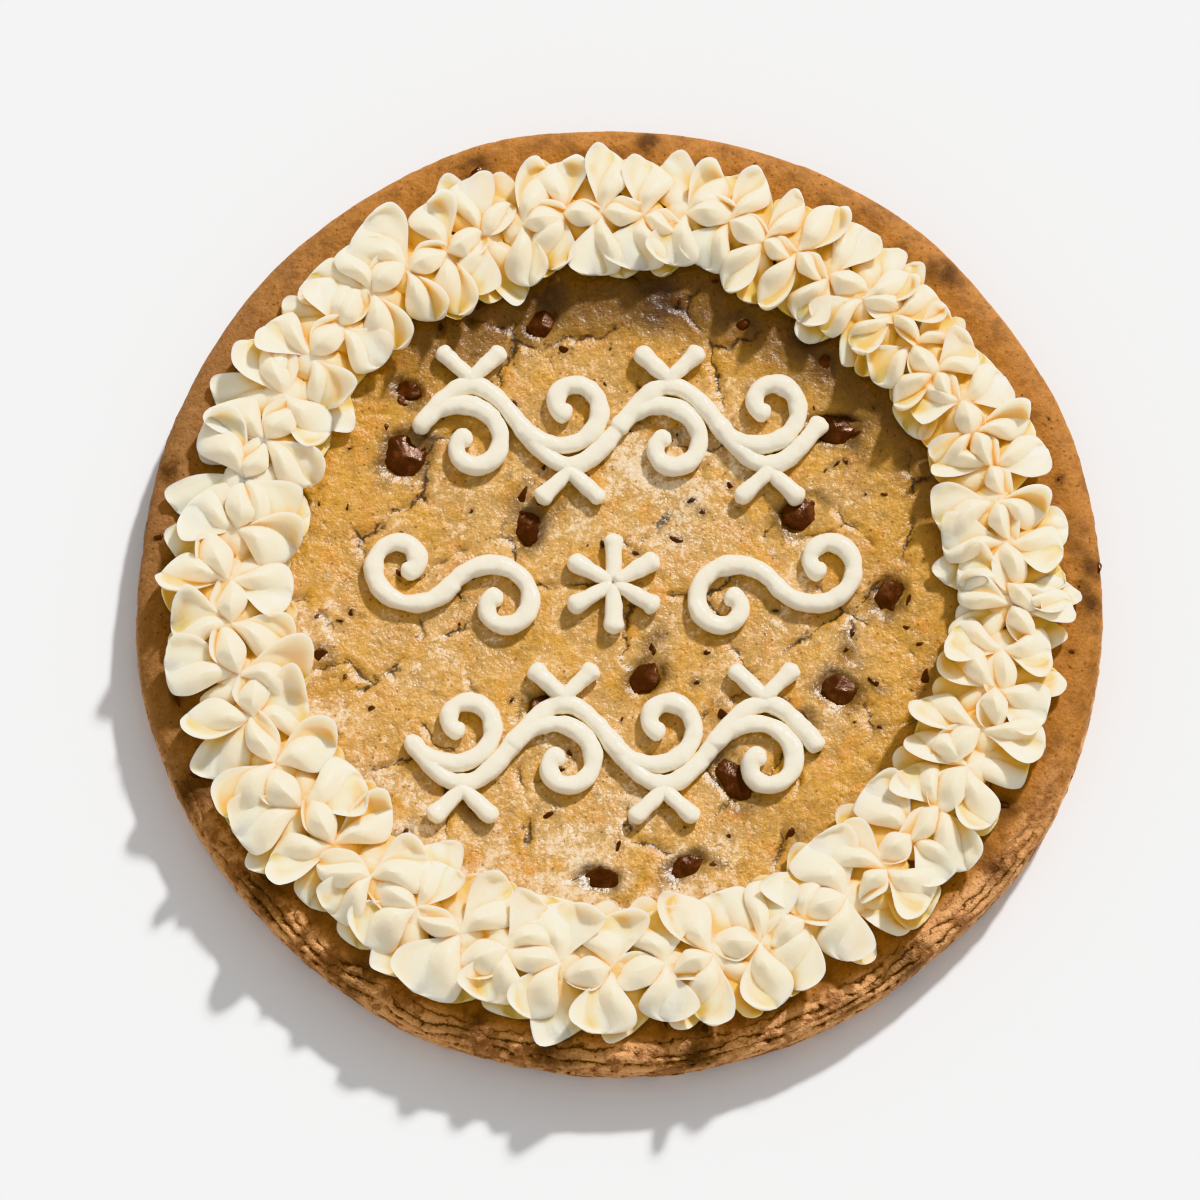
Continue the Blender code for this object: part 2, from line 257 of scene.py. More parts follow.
def geometry_tree(name, sizes):
    """A Geometry Nodes tree with an input for each named size, and its inputs."""
    shape = {"Geometry": "Geometry"}
    return new_group(name, "GeometryNodeTree", {**shape, **sizes}, shape)


def finished(tree, result):
    """Lead the result to the output of a node group."""
    tree.links.new(result, tree.nodes.new("NodeGroupOutput").inputs[0])
    return tree


def stretched(tree, place, factors):
    """Coordinates scaled by a factor for each axis."""
    return vector_calc(tree, "MULTIPLY", place, factors)


def warped(tree, place, size, amount):
    """Coordinates pushed about by noise, so that straight patterns wander."""
    sockets = {"Vector": place, "Scale": 1.0 / size, "Detail": 3.0}
    push = put(tree, "ShaderNodeTexNoise", sockets).outputs[1]
    push = vector_calc(tree, "SUBTRACT", push, (0.5, 0.5, 0.5))
    push = vector_calc(tree, "MULTIPLY", push, (amount, amount, amount))
    return vector_calc(tree, "ADD", place, push)


def cell_edges(tree, place, size, width):
    """1 on the borders between random cells and 0 inside them. width may be a socket."""
    sockets = {"Vector": place, "Scale": 1.0 / size}
    options = {"feature": "DISTANCE_TO_EDGE", "voronoi_dimensions": "2D"}
    edge = put(tree, "ShaderNodeTexVoronoi", sockets, **options).outputs["Distance"]
    return step(tree, edge, 0.0, calc(tree, "DIVIDE", width, size), 1.0, 0.0)


def colour(red, green, blue):
    """A linear colour from the 0 to 255 values that a picture shows."""
    parts = []
    for value in (red, green, blue):
        value = value / 255.0
        parts.append(value / 12.92 if value <= 0.04045 else ((value + 0.055) / 1.055) ** 2.4)
    return (*parts, 1.0)


print("helpers ready")

# %% [markdown]
# The baked round comes first, because everything lies on it. Its outline and the height
# of its top follow the same formulas as the solid: a few waves round the edge, a raised
# rim, a lower middle and soft lumps. The sizes are repeated here by name.

# %% Sizes of the cookie
COOKIE_RADIUS = 153.0 * MM
RIM_HEIGHT = 18.0 * MM
MIDDLE_HEIGHT = 15.6 * MM
SHOULDER = 8.0 * MM
FOOT_RADIUS = 2.5 * MM
RELIEF = 0.5 * MM
REST_GAP = 0.5 * MM
# Waves round the edge: how many, how deep in mm and where they start
OUTLINE_WAVES = (
    (1, 0.41, 4.05),
    (2, 0.70, 3.00),
    (3, 0.50, 0.60),
    (5, 0.45, 2.10),
    (8, 0.35, 4.00),
    (13, 0.25, 1.00),
)


def outline_radius(angle):
    wave = sum(size * np.cos(count * angle + phase) for count, size, phase in OUTLINE_WAVES)
    return COOKIE_RADIUS + wave * MM


def top_height(x, y):
    reach = np.hypot(x, y) / COOKIE_RADIUS
    rise = np.clip((reach - 0.25) / 0.6, 0.0, 1.0)
    rise = rise * rise * (3.0 - 2.0 * rise)
    lumps = np.sin(52.0 * x + 1.0) * np.cos(61.0 * y + 0.4) + 0.7 * np.sin(74.0 * x - 43.0 * y + 2.0)
    height = MIDDLE_HEIGHT + (RIM_HEIGHT - MIDDLE_HEIGHT) * rise
    return height + RELIEF * lumps * (1.0 - 0.6 * rise)


print("top at the middle", round(float(top_height(0.0, 0.0)) / MM, 2), "mm")

# %% [markdown]
# Chunks of chocolate lie in the top, and smaller flakes all over it. Their places are
# settled before the dough is shaped, because dough sinks a little round each chunk and
# darkens where chocolate has melted into it. The large chunks stand where the solids
# have them. The flakes are drawn at random, with a fixed seed.

# %% Places of the chocolate
# Place, length and width in mm, turn in degrees
CHUNKS = (
    (-68, 44, 17, 14, 80),
    (68, 53, 15, 10, -5),
    (-29, 21, 13, 9, 78),
    (58, 26, 15, 10, 35),
    (-25, 88, 11, 8, 60),
    (8, -28, 13, 9, 50),
    (-24, -38, 11, 9, 20),
    (69, -32, 13, 10, -35),
    (36, -61, 18, 10, -60),
    (55, -43, 12, 8, 15),
    (85, -2, 13, 9, 60),
    (-6, -93, 12, 7, -10),
    (21, -89, 13, 7, 25),
    (-67, 66, 10, 6, -25),
)
FLAKE_COUNT = 220
FLAKE_SEED = 21
# The same sizes as for the chunks
LARGE_FLAKES = (
    (47.6, -134, 9, 6, 15),
    (87, 109, 8, 5, 40),
    (34, -101, 9, 6, 10),
    (-46, 139, 7, 5, 20),
    (151, 8, 5, 3, 80),
)


def flake_places():
    """Places, lengths, widths and turns of the small flakes."""
    rng = np.random.default_rng(FLAKE_SEED)
    places = []
    while len(places) < FLAKE_COUNT:
        x, y = rng.uniform(-1.0, 1.0, 2) * (COOKIE_RADIUS - 4.0 * MM)
        if hypot(x, y) > COOKIE_RADIUS - 5.0 * MM:
            continue
        length = rng.uniform(1.2, 3.4) + 7.0 * rng.uniform(0.0, 1.0) ** 4
        places.append((x, y, length * MM, length * MM * rng.uniform(0.35, 0.9), rng.uniform(0.0, tau)))
    for x, y, length, width, degrees in LARGE_FLAKES:
        places.append((x * MM, y * MM, length * MM, width * MM, radians(degrees)))
    return np.array(places)


FLAKES = flake_places()
print(len(CHUNKS), "chunks and", len(FLAKES), "flakes")


def local_places(x, y, place):
    """Points in a chunk's own frame, so that its outline is near radius 1."""
    cx, cy, length, width, turn = place
    dx = x - cx
    dy = y - cy
    u = (dx * cos(turn) + dy * sin(turn)) / (0.5 * length)
    v = (dy * cos(turn) - dx * sin(turn)) / (0.5 * width)
    return u, v


def chunk_places():
    return [
        (x * MM, y * MM, length * MM, width * MM, radians(turn))
        for x, y, length, width, turn in CHUNKS
    ]


# %% [markdown]
# The skin of the round is one mesh. A square grid bent into a disc gives quads of even
# size over the whole top, where a fan of rings would crowd them at the middle. Rings then
# carry the skin over the shoulder, down the side and under the foot. Numbers stored on
# its points say where the top shines, where it is stained or darkened as painted shade,
# where it is painted paler and how near the rim is, and the material reads them.

# %% Skin of the cookie
GRID = 240
SHOULDER_RINGS = 14
SHOULDER_DROP = 0.24 * RIM_HEIGHT
SIDE_RINGS = 20
SIDE_BULGE = 0.5 * MM


def disc_points(count):
    """A square grid bent into a disc: direction and share of the radius for each point."""
    line = np.linspace(-1.0, 1.0, count + 1)
    a, b = np.meshgrid(line, line)
    share = np.maximum(np.abs(a), np.abs(b))
    safe_a = np.where(a == 0, 1e-9, a)
    safe_b = np.where(b == 0, 1e-9, b)
    wide = np.abs(a) >= np.abs(b)
    angle = np.where(wide, (pi / 4) * (b / safe_a), pi / 2 - (pi / 4) * (a / safe_b))
    angle = np.where(np.where(wide, a, b) < 0, angle + pi, angle)
    return angle.ravel(), share.ravel()


def grid_border(count):
    """Numbers of the grid's border points, in turn to the left."""
    row = count + 1
    border = list(range(count))
    border += [k * row + count for k in range(count)]
    border += [count * row + k for k in range(count, 0, -1)]
    border += [k * row for k in range(count, 0, -1)]
    return border


def side_profile():
    """Inset and height below the rim for each ring from the shoulder to the foot."""
    profile = []
    for k in range(1, SHOULDER_RINGS + 1):
        part = k / SHOULDER_RINGS
        turn = part * pi / 2
        profile.append((SHOULDER * (1.0 - sin(turn)), SHOULDER_DROP * (1.0 - cos(turn))))
    foot = RIM_HEIGHT - FOOT_RADIUS
    for k in range(1, SIDE_RINGS + 1):
        part = k / SIDE_RINGS
        drop = SHOULDER_DROP + (foot - SHOULDER_DROP) * part
        profile.append((SIDE_BULGE * (1.0 - sin(pi * part)) * part, drop))
    for k in (1, 2, 3):
        turn = k / 3 * pi / 2
        inset = FOOT_RADIUS * (1.0 - cos(turn)) + SIDE_BULGE
        profile.append((inset, foot + FOOT_RADIUS * sin(turn)))
    return profile


def ring_faces(upper, lower):
    """Four-sided faces between two closed rings of point numbers."""
    upper = list(upper)
    lower = list(lower)
    nexts = zip(upper[1:] + upper[:1], lower[1:] + lower[:1])
    return [(a, b, d, c) for a, b, (c, d) in zip(upper, lower, nexts)]


def cookie_mesh():
    angle, share = disc_points(GRID)
    radius = share * (outline_radius(angle) - SHOULDER)
    x = radius * np.cos(angle)
    y = radius * np.sin(angle)
    points = [np.column_stack((x, y, top_height(x, y)))]
    border = grid_border(GRID)
    round_angle = angle[border]
    rim_x = x[border]
    rim_y = y[border]
    rim_z = top_height(rim_x, rim_y)
    for inset, drop in side_profile():
        reach = outline_radius(round_angle) - inset
        height = np.maximum(rim_z * (1.0 - drop / RIM_HEIGHT), 0.0)
        places = (reach * np.cos(round_angle), reach * np.sin(round_angle), height)
        points.append(np.column_stack(places))
    vertices = np.vstack(points)
    row = GRID + 1
    faces = []
    for j in range(GRID):
        for i in range(GRID):
            a = j * row + i
            faces.append((a, a + 1, a + 1 + row, a + row))
    count = len(border)
    rings = [border]
    for k in range(len(points) - 1):
        start = row * row + k * count
        rings.append(list(range(start, start + count)))
    for upper, lower in zip(rings, rings[1:]):
        faces += ring_faces(upper, lower)
    faces.append(tuple(reversed(rings[-1])))
    return mesh_of("cookie_skin", vertices, faces)


def turned_out(mesh):
    """Make every face of a closed mesh point out."""
    shape = bmesh.new()
    shape.from_mesh(mesh)
    bmesh.ops.recalc_face_normals(shape, faces=shape.faces)
    if shape.calc_volume(signed=True) < 0.0:
        bmesh.ops.reverse_faces(shape, faces=shape.faces)
    shape.to_mesh(mesh)
    shape.free()


skin_mesh = cookie_mesh()
turned_out(skin_mesh)
print("skin:", len(skin_mesh.vertices), "points,", len(skin_mesh.polygons), "faces")

# %% [markdown]
# Where the top shines, darkens or sinks is worked out once for each point of the skin and
# stored on the mesh. The crackled shine lies in patches that lean towards the lamp. Dough
# round a chunk sinks, and chocolate stains it a few millimetres wide. The rim bakes
# darker and stays matt, and is darker still towards the left. Dough close inside the ring
# on the far and right side is darkened as a painted shadow of the ring, and the front of
# the side, which lies in shade, is painted paler to lift it.

# %% Numbers stored on the skin
# These patches carry the real gloss and also the painted sheen and glints in the dough's colour.
# Place and radius in mm, strength
SHINE_PATCHES = (
    (26, 42, 22, 1.0),
    (7, 40, 18, 0.9),
    (-16, 24, 14, 0.7),
    (16, 20, 14, 0.7),
    (58, 9, 16, 0.6),
    (-41, -17, 8, 0.6),
    (-60, 50, 10, 0.5),
    (-97, -10, 16, 0.7),
    (-93, -41, 16, 0.8),
    (-76, -78, 26, 1.0),
    (-47, -95, 24, 1.0),
    (-16, -91, 22, 0.9),
    (16, -98, 20, 1.0),
    (37, -91, 18, 0.7),
    (-22, -50, 14, 0.6),
    (7, -72, 16, 0.7),
    (75, -10, 12, 0.5),
    (70, -39, 10, 0.6),
)
# Place and radius in mm
SMUDGES_AND_SHADE = (
    (-46, 139, 9),
    (10, 149, 8),
    (-47, -139, 10),
    (73, -136, 8),
    (149, 8, 6),
    (149, -4, 6),
    (49, -132, 9),
    (-112, -96, 12),
    (-84, -124, 13),
    (-20, -148, 12),
    (24, -150, 11),
    (92, -120, 12),
    (-134, -66, 12),
    # These three, just inside the ring at the far side, are partly chocolate stain and partly painted
    # shade where the ring's shadow falls.
    (12, 96, 15),
    (-24, 97, 11),
    (60, 84, 11),
    (-143, 40, 8),
    (118, -92, 8),
    (104, 106, 8),
)
CHUNK_DIP = 1.1 * MM
SHINE_EVERYWHERE = 0.32
# Where each number starts to change and where it has changed
SHINE_ENDS = (72.0 * MM, 96.0 * MM)
RIM_BEGINS = (0.80 * COOKIE_RADIUS, 0.93 * COOKIE_RADIUS)
SIDE_ENDS = (0.55 * RIM_HEIGHT, 0.86 * RIM_HEIGHT)
SIDE_AT_FRONT = (-11.0 * MM, -5.0 * MM)
DARKER_LEFT = (60.0 * MM, 150.0 * MM)
# The last three bound the painted shadow of the ring on the dough.
RING_SHADOW_BEGINS = (96.0 * MM, 116.0 * MM)
RING_SHADOW_ENDS = (112.0 * MM, 126.0 * MM)
RING_SHADOW_RIGHT = (0.0, 90.0 * MM)


def smooth_step(value, low, high):
    part = np.clip((value - low) / (high - low), 0.0, 1.0)
    return part * part * (3.0 - 2.0 * part)


def skin_numbers(points):
    """Numbers for each point of the skin, by name."""
    x, y, z = points.T
    reach = np.hypot(x, y)
    shine = np.zeros(len(points))
    for cx, cy, radius, strength in SHINE_PATCHES:
        away = np.hypot(x - cx * MM, y - cy * MM) / (radius * MM)
        shine = np.maximum(shine, strength * np.exp(-1.2 * away ** 2))
    shine = np.maximum(shine, SHINE_EVERYWHERE * (1.0 - smooth_step(reach, *SHINE_ENDS)))
    stain = np.zeros(len(points))
    dip = np.zeros(len(points))
    for place in chunk_places():
        u, v = local_places(x, y, place)
        near = (u ** 4 + v ** 4) ** 0.25
        dip = np.maximum(dip, 1.0 - smooth_step(near, 0.84, 1.02))
        stain = np.maximum(stain, 0.9 * (1.0 - smooth_step(near, 0.9, 1.7)))
    for place in FLAKES:
        u, v = local_places(x, y, place)
        near = np.hypot(u, v)
        stain = np.maximum(stain, 0.7 * (1.0 - smooth_step(near, 0.8, 2.2)))
    for cx, cy, radius in SMUDGES_AND_SHADE:
        away = np.hypot(np.hypot(x - cx * MM, y - cy * MM), RIM_HEIGHT - z) / (radius * MM)
        stain = np.maximum(stain, 1.0 - smooth_step(away, 0.2, 1.0))
    outward = reach - outline_radius(np.arctan2(y, x))
    past = outward + np.maximum(RIM_HEIGHT - z, 0.0)
    nearness = -y / np.maximum(reach, MM)
    front = smooth_step(nearness, 0.25, 0.75)
    # The front of the side lies in shade; the material paints it paler there to lift it.
    shade = smooth_step(nearness, -0.3, 0.5)
    side = 1.0 - smooth_step(z, *SIDE_ENDS)
    side = np.maximum(side, front * smooth_step(past, *SIDE_AT_FRONT))
    rim = np.maximum(smooth_step(reach, *RIM_BEGINS), side)
    # The rim is darker towards the left.
    bake = smooth_step(-x, *DARKER_LEFT)
    # Painted shadow: a mask just inside the ring on the far and right side, where the ring's shadow
    # falls.
    under = smooth_step(reach + 0.25 * y, *RING_SHADOW_BEGINS)
    under = under * smooth_step(x + 1.6 * y, *RING_SHADOW_RIGHT)
    under = under * (1.0 - smooth_step(reach, *RING_SHADOW_ENDS))
    return {
        "shine": shine, "stain": stain, "dip": dip, "rim": rim, "side": side, "past": past,
        "bake": bake, "under": under, "pale": side * shade,
    }


def mesh_points(mesh, what="co"):
    flat = np.empty(3 * len(mesh.vertices))
    mesh.vertices.foreach_get(what, flat)
    return flat.reshape(-1, 3)


def mesh_normals(mesh):
    return mesh_points(mesh, "normal")


def store(mesh, name, values):
    attribute = mesh.attributes.new(name, "FLOAT", "POINT")
    attribute.data.foreach_set("value", np.asarray(values, dtype=np.float32))


for name, values in skin_numbers(mesh_points(skin_mesh)).items():
    store(skin_mesh, name, values)
    print(name, "up to", round(float(values.max()), 2))

# %% [markdown]
# The relief of real dough is far too fine to place by hand. Geometry Nodes push every
# point of the skin along its normal by a sum of noises: broad lumps, wrinkles, wandering
# cracks on the top and thin flaky layers on the side. The same tree stores the broad
# patterns on the points, and the material reads them. So the render works them out
# once for each point and not at every ray, and the cracks are dark where they are deep.

# %% Relief of the skin
CRACK_CELL = 30.0 * MM
LUMP_DEPTH = 1.3 * MM
WRINKLE_DEPTH = 1.5 * MM
CRACK_DEPTH = 1.3 * MM
LAYER_DEPTH = 1.4 * MM
LAYER_STEP = 4.4 * MM
LAYER_WANDER = 3.6


def attribute(tree, name, kind="FLOAT"):
    """A value stored on the mesh, for a Geometry Nodes tree."""
    return put(tree, "GeometryNodeInputNamedAttribute", {"Name": name}, data_type=kind).outputs[0]


def shifted(tree, place, amount):
    """The same coordinates somewhere else, so that two noises differ."""
    return vector_calc(tree, "ADD", place, (amount, 0.7 * amount, 0.4 * amount))


def skin_patterns(tree, place):
    """The broad patterns of the dough, by the name that they are stored under."""
    flat = stretched(tree, place, (1.0, 1.0, 0.0))
    down = put(tree, "ShaderNodeCombineXYZ", {2: attribute(tree, "past")}).outputs[0]
    upright = vector_calc(tree, "ADD", flat, stretched(tree, down, (0.0, 0.0, 1.6)))
    turned = put(tree, "ShaderNodeVectorRotate", {"Vector": place, "Angle": radians(52.0)}).outputs[0]
    return {
        "crack_place": warped(tree, warped(tree, flat, 14.0 * MM, 12.0 * MM), 3.0 * MM, 1.6 * MM),
        "layer_place": warped(tree, upright, 5.0 * MM, 3.0 * MM),
        "streak_place": warped(tree, stretched(tree, turned, (1.0, 0.75, 1.0)), 9.0 * MM, 3.0 * MM),
        "crack_zone": step(tree, noise(tree, flat, 22.0 * MM, 2.0), 0.47, 0.56),
        "blotch": noise(tree, place, 13.0 * MM, 4.0, 0.65),
        "patch": noise(tree, shifted(tree, place, 0.3), 9.0 * MM, 4.0, 0.65),
        "smear": noise(tree, shifted(tree, place, 0.7), 12.0 * MM, 4.0, 0.6),
        "broken": noise(tree, shifted(tree, place, 1.1), 11.0 * MM, 4.0, 0.6),
        "smudge": noise(tree, shifted(tree, place, 1.9), 8.0 * MM, 4.0, 0.7),
    }


def layer_lines(tree, place, past, width):
    """Long wavy lines where flaky layers part round the side, and the lumps that bend them."""
    lumps = noise(tree, place, 22.0 * MM, 3.0, 0.55)
    level = calc(tree, "MULTIPLY_ADD", lumps, LAYER_WANDER, calc(tree, "DIVIDE", past, LAYER_STEP))
    away = calc(tree, "PINGPONG", level, 0.5)
    return step(tree, away, 0.0, calc(tree, "DIVIDE", width, LAYER_STEP), 1.0, 0.0), lumps


def stored_as(tree, geometry, name, value):
    """Store a field on the points of a geometry under a name."""
    kind = "FLOAT_VECTOR" if name.endswith("place") else "FLOAT"
    sockets = {"Geometry": geometry, "Name": name, "Value": value}
    options = {"data_type": kind, "domain": "POINT"}
    return put(tree, "GeometryNodeStoreNamedAttribute", sockets, **options).outputs[0]


def relief_tree():
    tree, given = geometry_tree("dough_relief", {
        "Lump depth": LUMP_DEPTH, "Wrinkle depth": WRINKLE_DEPTH, "Crack depth": CRACK_DEPTH,
        "Layer depth": LAYER_DEPTH, "Chunk dip": CHUNK_DIP,
    })
    place = tree.nodes.new("GeometryNodeInputPosition").outputs[0]
    normal = tree.nodes.new("GeometryNodeInputNormal").outputs[0]
    height = put(tree, "ShaderNodeSeparateXYZ", {0: place}).outputs["Z"]
    rim = attribute(tree, "rim")
    side = attribute(tree, "side")
    patterns = skin_patterns(tree, place)
    lumps = minus(tree, noise(tree, place, 26.0 * MM, 2.0), 0.5)
    lumps = times(tree, lumps, given["Lump depth"])
    wrinkles = minus(tree, noise(tree, place, 6.0 * MM, 4.0, 0.6, 0.6), 0.5)
    calm = step(tree, rim, 0.0, 1.0, 1.0, 0.35)
    calm = calc(tree, "MAXIMUM", calm, side)
    wrinkles = times(tree, times(tree, wrinkles, calm), given["Wrinkle depth"])
    cracks = cell_edges(tree, patterns["crack_place"], CRACK_CELL, 1.9 * MM)
    cracks = times(tree, cracks, times(tree, patterns["crack_zone"], given["Crack depth"]))
    cracks = times(tree, cracks, step(tree, rim, 0.2, 1.0, 1.0, 0.1))
    gaps, level = layer_lines(tree, patterns["layer_place"], attribute(tree, "past"), 1.2 * MM)
    parted = times(tree, gaps, step(tree, patterns["patch"], 0.36, 0.50, 0.15, 1.0))
    layers = minus(tree, level, parted)
    layers = times(tree, times(tree, layers, side), given["Layer depth"])
    dip = times(tree, attribute(tree, "dip"), given["Chunk dip"])
    total = plus(tree, plus(tree, lumps, wrinkles), layers)
    total = minus(tree, minus(tree, total, cracks), dip)
    total = times(tree, total, step(tree, height, 0.3 * MM, 3.0 * MM))
    push = scaled(tree, normal, total)
    kept = given["Geometry"]
    for name, value in patterns.items():
        kept = stored_as(tree, kept, name, value)
    moved = put(tree, "GeometryNodeSetPosition", {"Geometry": kept, "Offset": push})
    return finished(tree, moved.outputs[0])


def fused(tree, instances):
    """One skin round instances, with nothing left inside."""
    options = {"operation": "UNION", "solver": "MANIFOLD"}
    return put(tree, "GeometryNodeMeshBoolean", {"Mesh 2": instances}, **options).outputs[0]


def made_real(tree, geometry, material):
    """Realized instances with their material, as every tree here ends."""
    real = put(tree, "GeometryNodeRealizeInstances", {"Geometry": geometry}).outputs[0]
    return put(tree, "GeometryNodeSetMaterial", {"Geometry": real, "Material": material}).outputs[0]


def shaped_by(tree, mesh, name, values=None):
    """Run a Geometry Nodes tree on a mesh and return the plain mesh that it makes."""
    carrier = in_scene(name, mesh)
    modifier = carrier.modifiers.new("shape", "NODES")
    modifier.node_group = tree
    inputs = [item for item in tree.interface.items_tree if item.in_out == "INPUT"]
    sockets = {item.name: item.identifier for item in inputs}
    for key, value in (values or {}).items():
        modifier[sockets[key]] = value
    graph = bpy.context.evaluated_depsgraph_get()
    made = bpy.data.meshes.new_from_object(carrier.evaluated_get(graph))
    made.name = name
    bpy.data.objects.remove(carrier, do_unlink=True)
    return made


def piece(name, mesh, material, replaced):
    """Show a finished mesh, let it ride on the part and hide the solids that it replaces."""
    shown = in_scene(name, mesh)
    mesh.materials.clear()
    mesh.materials.append(material)
    mesh.shade_smooth()
    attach(shown, "root")
    if replaced:
        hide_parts(*replaced)


dough_mesh = shaped_by(relief_tree(), skin_mesh, "cookie_skin", {"Wrinkle depth": WRINKLE_DEPTH})
moved = mesh_points(dough_mesh)
print("top from", round(moved[:, 2].min() / MM, 2), "to", round(moved[:, 2].max() / MM, 2), "mm high")

# %% [markdown]
# Every surface here has a grain of its own kind of sugar, so that pattern is built once
# as a node group and used in each material. It takes the place and a size, and gives a
# height from 0 to 1. A second group darkens or brightens a colour by a number, so that
# the grain also shows as fine speckles.

# %% Shared groups
def new_material(name):
    material = bpy.data.materials.new(name)
    material.use_nodes = True
    return material, material.node_tree, material.node_tree.nodes["Principled BSDF"]


def grain_group():
    inputs = {"Place": "Vector", "Size": MM}
    group, given = new_group("sugar_grain", "ShaderNodeTree", inputs, {"Height": "Float"})
    scale = calc(group, "DIVIDE", 1.0, given["Size"])
    sockets = {"Vector": given["Place"], "Scale": scale, "Detail": 2.0, "Roughness": 0.7}
    speckle = put(group, "ShaderNodeTexNoise", sockets).outputs[0]
    return finished(group, step(group, speckle, 0.25, 0.75))


def shade_group():
    inputs = {"Colour": "Color", "Amount": 1.0}
    group, given = new_group("shaded_colour", "ShaderNodeTree", inputs, {"Shaded": "Color"})
    grey = put(group, "ShaderNodeCombineColor", {axis: given["Amount"] for axis in range(3)}).outputs[0]
    return finished(group, mix(group, 1.0, given["Colour"], grey, "MULTIPLY"))


sugar_grain = grain_group()
shaded_colour = shade_group()


def grain_at(tree, place, size):
    """The shared grain, in a material."""
    sockets = {"Place": place, "Size": size}
    return put(tree, "ShaderNodeGroup", sockets, node_tree=sugar_grain).outputs["Height"]


def stored(tree, name):
    """A number stored on the mesh, for a shader."""
    return put(tree, "ShaderNodeAttribute", attribute_name=name).outputs["Fac"]


def stored_place(tree, name):
    """Coordinates stored on the mesh, for a shader."""
    return put(tree, "ShaderNodeAttribute", attribute_name=name).outputs["Vector"]


def shaded(tree, tone, amount):
    """The shared shading, in a material."""
    sockets = {"Colour": tone, "Amount": amount}
    return put(tree, "ShaderNodeGroup", sockets, node_tree=shaded_colour).outputs["Shaded"]


def connect(tree, shader, sockets):
    """Lead results to the shader's sockets. A height in metres goes in through a bump."""
    for name, result in sockets.items():
        if name == "Height":
            name = "Normal"
            result = put(tree, "ShaderNodeBump", {"Distance": 1.0, "Height": result}).outputs[0]
        tree.links.new(result, shader.inputs[name])


print("shared groups:", sugar_grain.name, shaded_colour.name)

# %% [markdown]
# Baked dough isn't one colour. Sugar browns the rim to an orange tan, the middle stays
# paler with olive and greyish blotches, and chocolate leaves dark smears, a few of which
# near the ring also stand in for its shadow as painted shade. Fat and sugar dry to a thin
# shiny skin: in its patches the colour turns a paler peach, partly the skin's own tone and
# partly painted sheen, and bright flecks there are painted glints on top of the real
# gloss. The material mixes these colours by the patterns stored on the skin, and adds only
# the fine grain itself. One bump node takes the sum of all that is finer than the mesh.

# %% Material of the dough
TAN = colour(198, 147, 64)
OLIVE = colour(180, 134, 62)
ORANGE = colour(196, 136, 56)
PEACH_AND_SHEEN = colour(214, 176, 120)
PAINTED_GLINT = colour(246, 224, 190)
GREY = colour(116, 88, 52)
RIM_BROWN = colour(166, 113, 60)
RIM_DARK = colour(134, 90, 50)
# Rim tone towards the left.
RIM_LEFT_TONE = colour(150, 110, 74)
# The side's two colours are painted lighter than the rim's brown, to lift the shaded front.
LIFTED_SIDE_BROWN = colour(230, 172, 118)
LIFTED_SIDE_DARK = colour(168, 118, 80)
RING_SHADOW_BROWN = colour(90, 60, 32)
CRACK_BROWN = colour(44, 26, 14)
STAIN_AND_SHADE_BROWN = colour(60, 38, 26)
SPECK_RED = colour(112, 56, 34)
STREAK_DEPTH = 0.85 * MM
GRAIN_DEPTH = 0.06 * MM
CRUMB_DEPTH = 0.34 * MM
CRACK_RAG = 16.0 * MM
LAYER_RAG = 13.0 * MM


def cell_spots(tree, place, size, solid, gone):
    """One round spot in each random cell, solid up to a share of the cell's size."""
    sockets = {"Vector": place, "Scale": 1.0 / size}
    near = put(tree, "ShaderNodeTexVoronoi", sockets, feature="F1").outputs["Distance"]
    return step(tree, near, solid, gone, 1.0, 0.0)


def layered(tree, tone, layers):
    """Lay colours over a tone in turn, each by a mask and a share of it."""
    for mask, share, colour_above in layers:
        tone = mix(tree, times(tree, mask, share), tone, colour_above)
    return tone


